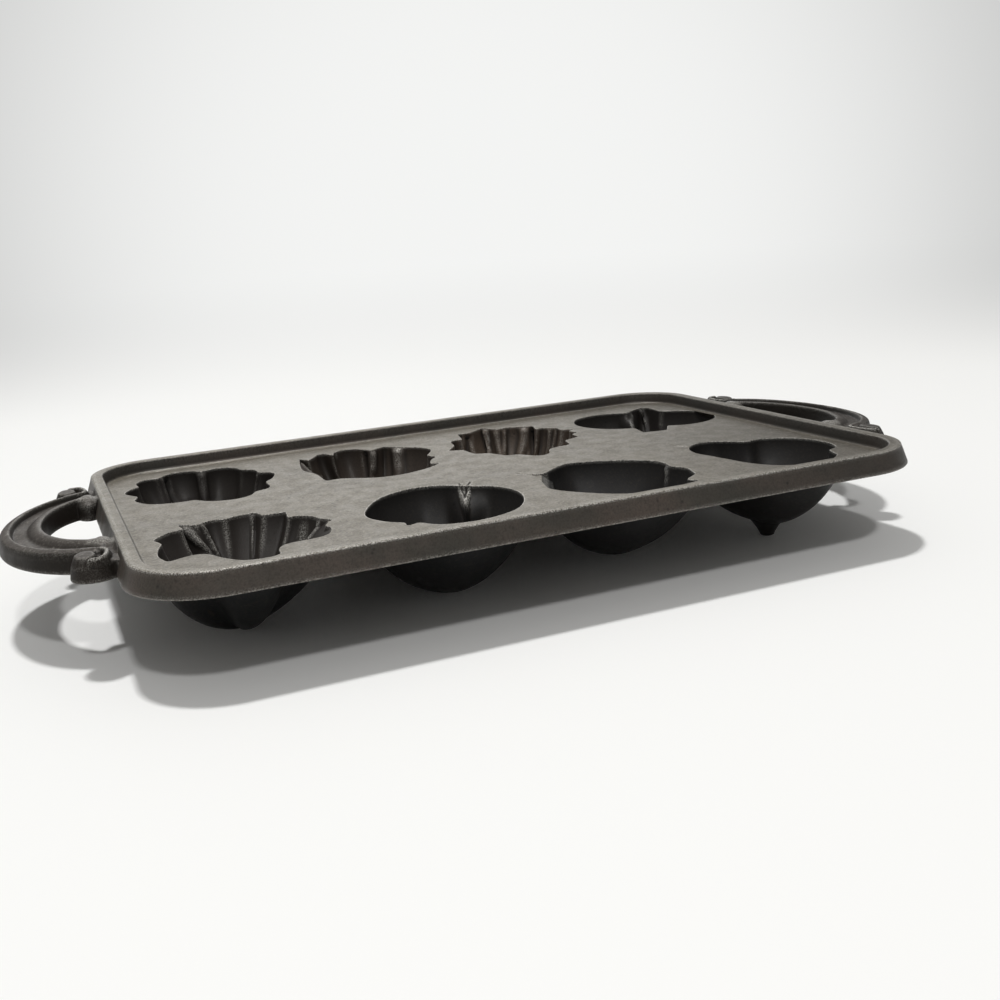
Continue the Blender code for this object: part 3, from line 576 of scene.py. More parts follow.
@dataclass
class Mould:
    """One fruit cavity and its cup, about its own place on the deck.

    Depth and low point are in millimetres. Tone is how pale its iron is, and the crest setting how bright
    its crests are painted with glints and rubbed metal, and down to what share of the depth. Swells and
    ridges are
    as in the solids: (heading, half width, amount) in degrees. Relief holds functions of plan place and
    level that give how far the wall stands in from its plain form, glints like ones for painted glints
    with some rubbed metal, and ledges functions of plan place for how far down the wall may reach there.
    """

    name: str
    column: int
    row: int
    outline: tuple
    depth: float
    fullness: float
    low: tuple
    tone: float
    bright_wear_and_glint: tuple
    swells: tuple = ()
    ridges: tuple = ()
    relief: tuple = ()
    ledges: tuple = ()
    glints: tuple = ()
    foot: tuple = None

    def __post_init__(self):
        self.place = np.array([(self.column - 1.5) * COLUMN_PITCH, (self.row - 0.5) * ROW_PITCH])
        self.outline = softened(closed_line(self.outline, OUTLINE_POINTS), OUTLINE_ROUND)
        self.depth *= MM
        self.low = np.array(self.low) * MM

    def hole_line(self):
        """Where the deck's flat top ends and the rounded lip begins."""
        return softened(self.outline + outward(self.outline) * LIP_ROUND, HOLE_ROUND)

    def share(self, line, level):
        """How far out the wall stands at that level, as a share of the line's distance."""
        away = line - self.low
        heading = np.degrees(np.arctan2(away[:, 1], away[:, 0]))
        fullness = np.full(len(line), self.fullness) + bumps(heading, self.swells)
        crease = bumps(heading, self.ridges) * ease(level, 0.02, 0.4)
        return (np.maximum(0, 1 - level**fullness) ** (1 / fullness)) * (1 - crease)

    def ring(self, line, level, drop):
        place = self.low + (line - self.low) * self.share(line, level)[:, None]
        return at_height(place, -drop)

    def cavity_rings(self):
        """Rings from the deck's edge over the lip and down the wall to the floor, with their share of
        painted glint and rubbed bright metal.
        """
        hole = self.hole_line()
        spread = hole - self.outline
        inner = self.outline + spread * (1 - FLAT_RING / LIP_ROUND)
        rings = [at_height(hole, 0), at_height(inner, 0)]
        # Painted glints along the lip, with some rubbed metal
        wear_and_glint = [0.35, 0.5]
        for step in range(1, LIP_STEPS + 1):
            turn = pi / 2 * step / LIP_STEPS
            rings.append(at_height(
                self.outline + (inner - self.outline) * (1 - sin(turn)), -LIP_ROUND * (1 - cos(turn))
            ))
            wear_and_glint.append(1 - 0.5 * step / LIP_STEPS)
        start = asin(1.6 * LIP_ROUND / self.depth)
        for row in range(WALL_ROWS):
            level = sin(start + (pi / 2 - start) * (row / WALL_ROWS))
            rings.append(self.ring(self.outline, level, self.depth * level))
            wear_and_glint.append(0.25 if row == 0 else 0)
        return rings, wear_and_glint

    def cup_rings(self):
        """Rings of the cup's outside, from the deck's underside down to its bottom."""
        away = self.outline - self.low
        calm = softened(self.outline, CUP_ROUND)
        line = calm + away / np.linalg.norm(away, axis=1)[:, None] * MOULD_WALL
        full = self.depth + MOULD_WALL
        rings = []
        for step in range(5):
            turn = pi / 2 * step / 4
            drop = DECK_THICKNESS + CUP_FILLET * (1 - cos(turn))
            ring = self.ring(line, drop / full, drop)
            ring[:, :2] += outward(line) * CUP_FILLET * (1 - sin(turn))
            rings.append(ring)
        start = asin((DECK_THICKNESS + CUP_FILLET) / full)
        for row in range(1, CUP_ROWS):
            level = sin(start + (pi / 2 - start) * (row / CUP_ROWS))
            rings.append(self.ring(line, level, full * level))
        return rings

    def with_relief(self, rings):
        """The wall's rings with the fruit's relief pressed out of them."""
        grid = np.array(rings)
        for ledge in self.ledges:
            allowed = np.maximum(ledge(grid[:, :, :2] / MM), LIP_ROUND / MM + 0.1) * MM
            grid[:, :, 2] = -low_of(-grid[:, :, 2], allowed, 0.5 * MM)
        across = np.roll(grid, -1, 1) - np.roll(grid, 1, 1)
        down = np.gradient(grid, axis=0)
        normal = np.cross(across, down)
        normal /= np.linalg.norm(normal, axis=2)[:, :, None] + 1e-12
        inward = self.low - grid[:, :, :2]
        facing = (normal[:, :, :2] * inward).sum(2) + normal[:, :, 2] * self.depth
        normal *= np.sign(facing.mean())
        level = -grid[:, :, 2] / self.depth
        height = np.zeros(level.shape)
        for form in self.relief:
            height += form(grid[:, :, :2] / MM, level) * MM
        height *= held((-grid[:, :, 2] - LIP_ROUND) / (1 * MM))
        grid += normal * height[:, :, None]
        return list(grid)

    def make(self):
        rings, wear_and_glint = self.cavity_rings()
        lip_rows = 2 + LIP_STEPS
        rings[lip_rows:] = self.with_relief(rings[lip_rows:])
        for ring in rings[:lip_rows]:
            ring[:, 2] += undulation(ring[:, 0] + self.place[0], ring[:, 1] + self.place[1])
        cup = [at_height(self.hole_line(), -DECK_THICKNESS), *self.cup_rings()]
        everything = rings[::-1] + cup
        marks = wear_and_glint[::-1] + [0] * len(cup)
        shift = np.array([*self.place, DECK_TOP])
        part = loft(self.name + "_casting", [ring + shift for ring in everything], marks)
        in_cavity = np.arange(len(part.data.vertices)) < len(rings) * OUTLINE_POINTS
        bulge = bulge_of(part.data, MOULD_CELL)
        wear_and_glint = rows_of(part.data.attributes["wear_and_glint"].data, "value", 1)[:, 0]
        places = rows_of(part.data.vertices, "co") - shift
        level = -places[:, 2] / self.depth
        amount, reach = self.bright_wear_and_glint
        # Painted glints with some rubbed metal on the crests of the relief and along the glint paths
        crests = amount * held(bulge) * (1 - ease(level, 0.6 * reach, reach))
        for form in self.glints:
            crests = np.maximum(crests, form(places[None, :, :2] / MM, level[None])[0])
        mark_mesh(part.data, "wear_and_glint", np.maximum(wear_and_glint, in_cavity * crests))
        # Painted shade in the creases of the cavity
        mark_mesh(part.data, "painted_shade", in_cavity * held(-bulge))
        mark_mesh(part.data, "tone", self.tone * in_cavity)
        return part


def bumps(heading, rows):
    """The sum of smooth bumps round a mould, each given as (heading, half width, amount)."""
    return sum(amount * nearness(heading, aim, half_width) for aim, half_width, amount in rows)


def nearness(heading, aim, half_width):
    """1 in the aimed heading, falling smoothly to 0 at the half width to either side."""
    turn = (heading - aim + 180) % 360 - 180
    return np.maximum(0, 1 - (turn / half_width) ** 2) ** 2


def distance_to_path(places, path):
    """Distance of each plan place to an open path of straight runs, all in millimetres."""
    path = np.array(path, float)
    best = np.full(places.shape[:2], 1e9)
    for a, b in zip(path, path[1:]):
        along = b - a
        t = held(((places - a) @ along) / (along @ along))
        gap = np.linalg.norm(places - a - t[..., None] * along, axis=2)
        best = np.minimum(best, gap)
    return best


def rib(path, half_width, height, bottom, top=0):
    """A rounded rib along a plan path down to a level, or a groove where the height is negative."""
    def form(places, level):
        gap = distance_to_path(places, path) / half_width
        window = held((level - top) / 0.08) * held((bottom - level) / 0.12)
        return height * np.maximum(0, 1 - gap**2) ** 2 * window
    return form


def glint(path, half_width, brightness, bottom):
    """A streak of painted highlight along a plan path, from over the lip down to a level."""
    return rib(path, half_width, brightness, bottom, top=-1)


def side_of(places, start, end):
    """How far each plan place lies to the left of the line from start to end."""
    along = unit(np.subtract(end, start))
    return (places - np.array(start)) @ np.array([-along[1], along[0]])


def shelf(start, end, drop, slope):
    """A ledge to the left of a line, sloping up away from it, with a steep face below the line."""
    def allowed(places):
        away = side_of(places, start, end)
        return drop - np.where(away > 0, slope, 5) * away
    return allowed


def leaf(tip, left, right, drop):
    """A pointed leaf from the deck's edge into the cavity, with a raised border and an inner one."""
    def allowed(places):
        away = np.minimum(side_of(places, left, tip), side_of(places, tip, right))
        reach = np.linalg.norm(np.subtract(left, tip))
        level = 1 + drop * (1 - np.linalg.norm(places - np.array(tip), axis=2) / reach).clip(0)
        borders = 0.9 * np.exp(-((away - 0.7) / 0.6) ** 2) + 0.7 * np.exp(-((away - 2.8) / 0.5) ** 2)
        return np.where(away > 0, level + 0.9 - borders, level - 9 * away)
    return allowed


def berries(pitch, height, top, bottom):
    """Round berries packed over the wall and floor."""
    def form(places, level):
        x = places[..., 0] / pitch
        y = places[..., 1] / (pitch * 0.866)
        best = np.full(level.shape, 1e9)
        for dy in (0, 1):
            row = np.floor(y) + dy
            shift = (row % 2) * 0.5
            column = np.round(x - shift) + shift
            best = np.minimum(best, np.hypot(x - column, (y - row) * 0.866))
        window = held((level - top) / 0.15) * held((bottom - level) / 0.1)
        return -height * np.maximum(0, 1 - (best / 0.5) ** 2) * window
    return form


MOULDS = (
    Mould(
        "grape", 0, 0, GRAPE_OUTLINE,
        depth=31.6, fullness=1.42, low=(-4.5, -3), tone=0.2, bright_wear_and_glint=(0.5, 0.5),
        swells=((186, 36, 0.45), (272, 50, 0.35)),
        relief=(
            berries(11, 1.2, 0.5, 1.1),
            rib(((-17.5, 34.5), (-12.9, 28.8), (-9.4, 25.9), (-4, 17)), 1.2, 1.6, 0.8),
            rib(((-11, 33.5), (-9, 31.4), (-7.5, 29.6), (-6, 26), (-3, 17)), 1.2, 1.6, 0.8),
            rib(((11.2, 36), (10.1, 32.5), (7, 24)), 1.5, 0.9, 0.6),
            rib(((32.8, 9), (31, 6.4), (26, 4)), 1.2, 1.2, 0.5),
        ),
        ledges=(shelf((22.5, 20), (15, -18), 13, 0.8),),
        glints=(
            glint(((-16.6, 33.5), (-12.9, 28.8), (-9.4, 25.9)), 0.8, 0.7, 0.5),
            glint(((-10, 32), (-9, 31.4), (-7.5, 29.6), (-6, 26.1)), 0.8, 0.7, 0.5),
            glint(((27, 14.5), (25, 12)), 3, 0.5, 0.5),
        ),
        foot=(-1, 10),
    ),
    Mould(
        "apple", 1, 0, APPLE_OUTLINE,
        depth=33.5, fullness=1.6, low=(4, -2), tone=0.06, bright_wear_and_glint=(1.6, 0.22),
        swells=((200, 120, 0.3),), ridges=((50, 22, 0.3),),
        ledges=(leaf((16.4, 10.5), (19.6, 28.5), (27.7, 28.5), 4),),
        glints=(
            glint(((20.3, 29), (16.9, 11.5)), 0.9, 1, 0.25),
            glint(((27, 29), (16.9, 11.5)), 0.9, 1, 0.25),
            glint(((22, 29), (20.6, 22), (24, 29)), 0.6, 0.7, 0.2),
        ),
    ),
    Mould(
        "pomegranate", 2, 0, POMEGRANATE_OUTLINE,
        depth=30.9, fullness=1.52, low=(0.5, -3), tone=0.03, bright_wear_and_glint=(0.25, 0.3),
        swells=((180, 140, 0.35),),
        relief=(rib(((30.6, 2), (28.7, -1.4), (27, -2.6), (20, -6)), 1.2, 1.3, 0.7),),
        ledges=(shelf((-29.5, -6), (-14.4, 27.1), 5.5, 1), shelf((31, 2), (15, -26), 14, 0.9)),
        glints=(glint(((-19, 24), (-25, 12), (-27.5, 3)), 2.2, 0.8, 0.2),),
    ),
    Mould(
        "pear", 3, 0, PEAR_OUTLINE,
        depth=29.4, fullness=1.6, low=(0.5, -7), tone=0.02, bright_wear_and_glint=(0, 0.3),
        swells=((190, 140, 0.5),), foot=(-2.5, -7),
    ),
    Mould(
        "bramble", 0, 1, BRAMBLE_OUTLINE,
        depth=31.4, fullness=1.8, low=(2, 0), tone=0.16, bright_wear_and_glint=(0.15, 0.4),
        relief=(
            berries(10, 1.2, 0.4, 1.1),
            rib(((-9.8, 39), (-9.1, 35.9), (-7.9, 34.3), (-5, 24)), 2, -1.4, 0.8),
            rib(((-13, 36), (-11.5, 33), (-8, 24)), 1.4, 1, 0.8),
            rib(((7, 36), (6.8, 32.9), (5.5, 24)), 3, 1.4, 0.8),
            rib(((31.5, 12), (29.8, 12.4), (24, 10)), 1, 1, 0.5),
        ),
        glints=(
            glint(((31.5, 12), (29.8, 12.4)), 0.8, 0.6, 0.3),
            glint(((5.5, 36), (8.5, 36)), 1.6, 0.7, 0.08),
        ),
        foot=(2, 0),
    ),
    Mould(
        "strawberry", 1, 1, STRAWBERRY_OUTLINE,
        depth=31.9, fullness=1.8, low=(3, -5), tone=0.5, bright_wear_and_glint=(0.4, 0.4),
        relief=(
            rib(((14.2, 27), (12.5, 24.2), (10.5, 22.8), (7, 14)), 1.5, 1.5, 0.8),
            rib(((10.5, 30), (9, 26), (6, 17)), 2, -1, 0.8),
            rib(((27, 25.5), (26, 22.9), (25, 20.5), (18, 8)), 4.2, 2.6, 0.9),
            rib(((-25, 27), (-21, 4), (-25, -26)), 1.2, 1, 0.5),
        ),
        ledges=(shelf((-26.5, -31), (-12.7, 33.8), 10, 0.8),),
        glints=(
            glint(((-4.5, 36), (-4, 32)), 1.6, 0.8, 0.14),
            glint(((27.2, 26), (25.8, 22)), 3, 0.9, 0.16),
            glint(((31, -8.5), (36, -1)), 1.2, 0.8, 0.1),
            glint(((26, -28.5), (30, -30)), 1.2, 0.8, 0.1),
        ),
    ),
    Mould(
        "pineapple", 2, 1, PINEAPPLE_OUTLINE,
        depth=31.4, fullness=1.8, low=(1, -3), tone=1, bright_wear_and_glint=(0.4, 0.5),
        relief=(
            rib(((2.5, 44), (3.2, 39.7), (3.1, 37.6), (2.6, 35.7), (2, 24)), 1.2, 1.8, 0.9),
            rib(((6.6, 35), (6, 29.4), (4, 20)), 1.6, 0.9, 0.9),
            rib(((12, 35), (10, 31.3), (8.3, 28.8), (6, 20)), 1.6, 1.1, 0.9),
            rib(((22.7, 31), (20.3, 28.3), (17.2, 26.1), (10, 15)), 3.6, 2, 0.9),
            rib(((26.4, 29), (24, 25), (22.2, 22.4), (14, 12)), 1.8, -1.6, 0.9),
            rib(((31, 15.6), (28.5, 13.5), (27, 12.7), (18, 7)), 1.3, 1.3, 0.9),
            rib(((33.2, 12.6), (30.4, 12), (22, 6)), 1.1, 0.9, 0.9),
            rib(((-9, 35.5), (-11.3, 32.4), (-7, 22)), 2.6, -1.3, 0.9),
        ),
        glints=(glint(((2.5, 44), (3.2, 39.7), (3.1, 37.6), (2.6, 35.7)), 0.8, 0.8, 0.5),),
    ),
    Mould(
        "cherry", 3, 1, CHERRY_OUTLINE,
        depth=29.4, fullness=1.8, low=(1, 1), tone=0.1, bright_wear_and_glint=(0.35, 0.4),
        relief=(
            rib(((17, 36), (20, 34.4), (20.2, 31.2), (18.8, 28), (14, 20), (5, 0), (-12, -30)),
                1.4, 1.8, 1.1),
            rib(((9, 29), (6, 24), (3, 16)), 1.8, 0.9, 0.9),
        ),
        ridges=((78, 14, 0.35), (272, 14, 0.35)), foot=(1, 1),
    ),
)


def add_foot(cup, mould):
    """A nub with a flared root under a cup, joined to it."""
    rings = []
    centre = mould.place + np.array(mould.foot) * MM
    rise = min(FOOT_RISE, DECK_TOP - mould.depth - FOOT_COVER)
    angles = np.arange(48) / 48 * 2 * pi
    circle = np.column_stack([np.cos(angles), np.sin(angles)])
    for share in np.linspace(0, 1, 14):
        radius = FOOT_TIP + (FOOT_ROOT - FOOT_TIP) * share**1.3
        if share == 0:
            rings.append(at_height(centre + circle * (radius - FOOT_BEVEL[0]), 0))
        height = FOOT_BEVEL[1] + (rise - FOOT_BEVEL[1]) * share
        rings.append(at_height(centre + circle * radius, height))
    foot = loft(mould.name + "_foot", rings, [0.5, 0.6] + [0.0] * (len(rings) - 2))
    join(cup, foot)


def join(part, other):
    """Unites a solid with another and removes the other."""
    step = part.modifiers.new("join", "BOOLEAN")
    step.operation = "UNION"
    step.solver = "EXACT"
    step.object = other
    apply_modifiers(part)
    bpy.data.objects.remove(other)


def apply_modifiers(part):
    bpy.context.view_layer.update()
    ready = part.evaluated_get(bpy.context.evaluated_depsgraph_get())
    mesh = bpy.data.meshes.new_from_object(ready)
    old = part.data
    part.modifiers.clear()
    part.data = mesh
    mesh.name = part.name
    bpy.data.meshes.remove(old)


# Handles

def band_offset(out, along):
    """How far each plan place lies outside the middle line of the handle's band."""
    reach = HANDLE_REACH - BAND_WIDTH / 2
    half_span = (HANDLE_SPAN - BAND_WIDTH) / 2
    line = [(reach * cos(turn), half_span * sin(turn)) for turn in np.linspace(0, pi / 2, BAND_STEPS)]
    line.append((-WALL_OVERLAP, half_span))
    gap = distance_to_path(np.stack([out, along], axis=-1), line)
    beyond = np.where(out > 0, np.hypot(out / reach, along / half_span), along / half_span) > 1
    return np.where(beyond, gap, -gap)


def handle_plan(out, along, offset):
    """Plan distance outside the handle's outline at its top: band, scroll and root flow together."""
    band = np.abs(offset) - BAND_WIDTH / 2
    scroll = np.hypot(out - SCROLL_STAND_OFF, along - SCROLL_ALONG) - SCROLL_RADIUS
    share = held(out / ROOT_DEPTH)
    outer_end = SCROLL_ALONG + ROOT_BESIDE_SCROLL + ROOT_OUTER_FLARE * (1 - np.sqrt(share)) ** 1.5
    inner_end = HANDLE_SPAN / 2 - BAND_WIDTH - ROOT_INNER_FLARE * (1 - share) ** 1.5
    root = high_of(high_of(along - outer_end, inner_end - along, 1.5), out - ROOT_DEPTH, 1.5)
    bud = np.hypot((out - BUD_PLACE[0]) / BUD_SIZE[0], (along - BUD_PLACE[1]) / BUD_SIZE[1])
    bud = (bud - 0.47) * BUD_SIZE[0]
    return low_of(low_of(low_of(band, scroll, 0.6), root, 1.8), bud, 1)


def handle_top(out, along, offset):
    """Height of the handle's top over the plan: two ridges, a hook that curls round an eye, and roots."""
    places = np.stack([out, along], axis=-1)
    outer_crest = BAND_WIDTH / 2 - OUTER_RIDGE + 0.6
    outer_ridge = held((outer_crest - offset) / 1.5) ** 1.5
    outer_ridge += 0.25 * held((offset - outer_crest) / 3.4) ** 1.5
    inner_crest = 1.4 - BAND_WIDTH / 2
    inner_ridge = held((offset - inner_crest) / (INNER_RIDGE - 1)) ** 1.7
    band = GROOVE_DEPTH * low_of(outer_ridge, inner_ridge, 0.2)
    band += 2 * np.clip(offset - BAND_WIDTH / 2, 0, 1.5)
    band += 4 * ease(-offset, BAND_WIDTH / 2, BAND_WIDTH / 2 + 1)
    band += SCROLL_RELIEF * (1 - ease(out, 2.5, 8.5))
    hook = distance_to_path(places, HOOK_LINE)
    eye = np.hypot(out - EYE_PLACE[0], (along - EYE_PLACE[1]) / EYE_STRETCH)
    scroll = low_of(SCROLL_RELIEF * (hook / 1.7) ** 2, 0.1 + SCROLL_RELIEF * ease(eye, 3.2, 5), 0.4)
    root = SCROLL_RELIEF + 3.5 * ease(along, 56, 63) + 0.3 * np.clip(along - SCROLL_ALONG, 0, 12)
    root -= WALL_FILLET * held(1 - out / 3) ** 2 * (1 - ease(along, 54, 62))
    drop = low_of(low_of(band, scroll, 0.4), root, 0.5)
    return HANDLE_TOP - HANDLE_FALL * (out.clip(0) / HANDLE_REACH) ** 1.5 - drop


def handle_field(out, along, z):
    """Below zero inside the handle: out from the wall, along it from the middle, and up, in mm."""
    offset = band_offset(out, along)
    plan = handle_plan(out, along, offset)
    near_scroll = held(1 - np.hypot(out - EYE_PLACE[0], along - EYE_PLACE[1]) / 9)
    draft = HANDLE_DRAFT + 1.2 * near_scroll
    depth = np.clip((HANDLE_TOP - z) / HANDLE_THICKNESS, 0, 1.1)
    sides = plan[..., None] - draft[..., None] * depth
    solid = high_of(sides, z - handle_top(out, along, offset)[..., None], 1.3)
    solid = high_of(solid, HANDLE_TOP - HANDLE_THICKNESS - z, 1.0)
    bud_height = RIM_TOP / MM - BUD_SIZE[2] / 2
    stretch = np.sqrt(
        ((out - BUD_PLACE[0]) / (BUD_SIZE[0] / 2))[..., None] ** 2
        + ((along - BUD_PLACE[1]) / (BUD_SIZE[1] / 2))[..., None] ** 2
        + ((z - bud_height) / (BUD_SIZE[2] / 2)) ** 2
    )
    return low_of(solid, (stretch - 1) * BUD_SIZE[2] / 2, 1.4)


def surface_of(field, corner, step):
    """Vertices and quads of the closed surface on which a field on a grid is zero."""
    cells = np.full(np.array(field.shape), -1)
    crossings = []
    for axis in range(3):
        a = np.delete(field, -1, axis)
        b = np.delete(field, 0, axis)
        found = np.argwhere((a < 0) != (b < 0))
        before = a[tuple(found.T)]
        share = before / (before - b[tuple(found.T)])
        place = found.astype(float)
        place[:, axis] += share
        first, second = np.delete(np.eye(3, dtype=int), axis, 0)
        around = [found, found - first, found - first - second, found - second]
        crossings.append((around, place))
    everywhere = np.concatenate([cell for around, _ in crossings for cell in around])
    used = np.unique(everywhere, axis=0)
    cells[tuple(used.T)] = np.arange(len(used))
    total = np.zeros((len(used), 3))
    count = np.zeros(len(used))
    faces = []
    for around, place in crossings:
        numbers = [cells[tuple(cell.T)] for cell in around]
        for number in numbers:
            np.add.at(total, number, place)
            np.add.at(count, number, 1)
        faces.append(np.stack(numbers, axis=1))
    verts = corner + total / count[:, None] * step
    return verts, [tuple(face) for face in np.concatenate(faces).tolist()]


def make_handle(name, turned):
    """A grooved band bent into half an oval, with a scroll and a bud at each root."""
    wall_x = HALF_X + RIM_OUT
    outs = np.arange(-WALL_OVERLAP, HANDLE_REACH + 3, HANDLE_CELL)
    alongs = np.arange(-HANDLE_HALF, HANDLE_HALF, HANDLE_CELL)
    low = HANDLE_TOP - HANDLE_THICKNESS - 1
    heights = np.arange(low, RIM_TOP / MM + 1, HANDLE_CELL)
    out, along = np.meshgrid(outs, np.abs(alongs), indexing="ij")
    field = handle_field(out, along, heights)
    field[0] = HANDLE_CELL
    corner = np.array([outs[0], alongs[0], heights[0]])
    verts, faces = surface_of(field, corner, HANDLE_CELL)
    handle = make_object(name, verts * MM + [wall_x, 0, 0], faces)
    smooth = handle.modifiers.new("smooth", "SMOOTH")
    smooth.factor = 0.5
    smooth.iterations = SMOOTH_PASSES
    apply_modifiers(handle)
    cut_at_wall(handle, wall_x)
    bulge = bulge_of(handle.data, HANDLE_CELL * MM)
    wear_and_glint = handle_wear_and_glint(handle.data, bulge, wall_x)
    # Painted shade in the handle's creases
    mark_mesh(handle.data, "painted_shade", held(-bulge))
    if turned:
        handle.data.transform(Matrix.Rotation(pi, 4, "Z"))
    finish_mesh(handle.data, wear_and_glint)
    return handle


def handle_wear_and_glint(mesh, bulge, wall_x):
    """Painted highlights with some rubbed bright metal on the hook's crest, the bud and the corner by the
    wall, and a little on the ridges.
    """
    x, y, z = (rows_of(mesh.vertices, "co") / MM).T
    out = x - wall_x / MM
    along = np.abs(y)
    top = RIM_TOP / MM
    high = ease(z, top - 2.2, top - 1.2)
    flat = np.stack([out, along], axis=-1)
    hook = 1 - ease(distance_to_path(flat[None], HOOK_LINE[2:])[0], 0.4, 1.2)
    bud = 1 - ease(np.hypot(out - BUD_PLACE[0], along - BUD_PLACE[1]), 3, 8)
    corner = (1 - ease(out, 0.8, 2.2)) * (1 - ease(np.abs(along - SCROLL_ALONG - 8), 2, 5))
    corner *= ease(z, top - 7, top - 5)
    wear_and_glint = 0.4 * held(bulge)
    for extra in (0.85 * hook * high, 0.6 * bud * high, 0.75 * corner):
        wear_and_glint = np.maximum(wear_and_glint, extra)
    return wear_and_glint


def cut_at_wall(handle, wall_x):
    """Takes away what lies behind the skirt's sloping face and closes the cut."""
    slope = RIM_FLARE / (RIM_TOP - DECK_BOTTOM)
    normal = Vector((1, 0, slope)).normalized()
    bm = bmesh.new()
    bm.from_mesh(handle.data)
    place = Vector((wall_x - 0.6 * MM, 0, RIM_TOP))
    cut = bmesh.ops.bisect_plane(
        bm, geom=bm.verts[:] + bm.edges[:] + bm.faces[:], plane_co=place, plane_no=normal,
        clear_inner=True,
    )
    rim_edges = [e for e in cut["geom_cut"] if isinstance(e, bmesh.types.BMEdge)]
    bmesh.ops.triangle_fill(bm, edges=rim_edges, use_beauty=True, normal=normal)
    bm.to_mesh(handle.data)
    bm.free()


def bulge_of(mesh, cell):
    """How much each vertex stands out of its surroundings, near 1 on crests and -1 in creases."""
    places = rows_of(mesh.vertices, "co")
    normals = rows_of(mesh.vertices, "normal")
    ends = rows_of(mesh.edges, "vertices", 2, int)
    links = np.bincount(ends.ravel(), minlength=len(places)).clip(1)

    def mean_of_neighbours(values):
        total = np.zeros(values.shape)
        np.add.at(total, ends[:, 0], values[ends[:, 1]])
        np.add.at(total, ends[:, 1], values[ends[:, 0]])
        return total / links.reshape((-1,) + (1,) * (values.ndim - 1))

    bulge = ((places - mean_of_neighbours(places)) * normals).sum(1) / cell
    for _ in range(3):
        bulge = (bulge + mean_of_neighbours(bulge)) / 2
    return bulge * BULGE_GAIN


# Materials

class Tree:
    """Short names for the nodes of a material or a world."""

    def __init__(self, owner):
        owner.use_nodes = True
        self.nodes = owner.node_tree.nodes
        self.links = owner.node_tree.links

    def fill(self, node, inputs):
        """Links a node's inputs to sockets and sets the others to plain values."""
        for key, value in inputs.items():
            if isinstance(value, bpy.types.NodeSocket):
                self.links.new(value, node.inputs[key])
            else:
                node.inputs[key].default_value = value

    def node(self, kind, inputs=(), **settings):
        made = self.nodes.new("ShaderNode" + kind)
        for key, value in settings.items():
            setattr(made, key, value)
        self.fill(made, dict(inputs))
        return made

    def math(self, operation, a, b=0.0):
        return self.node("Math", {0: a, 1: b}, operation=operation).outputs[0]

    def vector(self, operation, a, b=(0, 0, 0)):
        return self.node("VectorMath", {0: a, 1: b}, operation=operation).outputs

    def along(self, vector, axis):
        return self.node("SeparateXYZ", {0: vector}).outputs[axis]

    def ramp(self, value, low, high, out_low=0.0, out_high=1.0):
        inputs = {"Value": value, "From Min": low, "From Max": high, "To Min": out_low, "To Max": out_high}
        return self.node("MapRange", inputs, interpolation_type="SMOOTHSTEP").outputs[0]

    def mix(self, share, a, b):
        """A mix of two colours, each a socket or its red, green and blue."""
        a, b = [(*colour, 1) if isinstance(colour, tuple) else colour for colour in (a, b)]
        inputs = {"Factor": share, "A": a, "B": b}
        return self.node("Mix", inputs, data_type="RGBA").outputs["Result"]

    def noise(self, place, scale, detail=3.0, roughness=0.5):
        inputs = {"Vector": place, "Scale": scale, "Detail": detail, "Roughness": roughness}
        return self.node("TexNoise", inputs).outputs["Fac"]

    def glow(self, direction, aim, spread, far, near):
        """A strength that rises as the direction nears the aim."""
        return self.ramp(self.vector("DOT_PRODUCT", direction, aim)["Value"], *spread, far, near)


def shaded(colour, share):
    return tuple(share * c for c in colour)


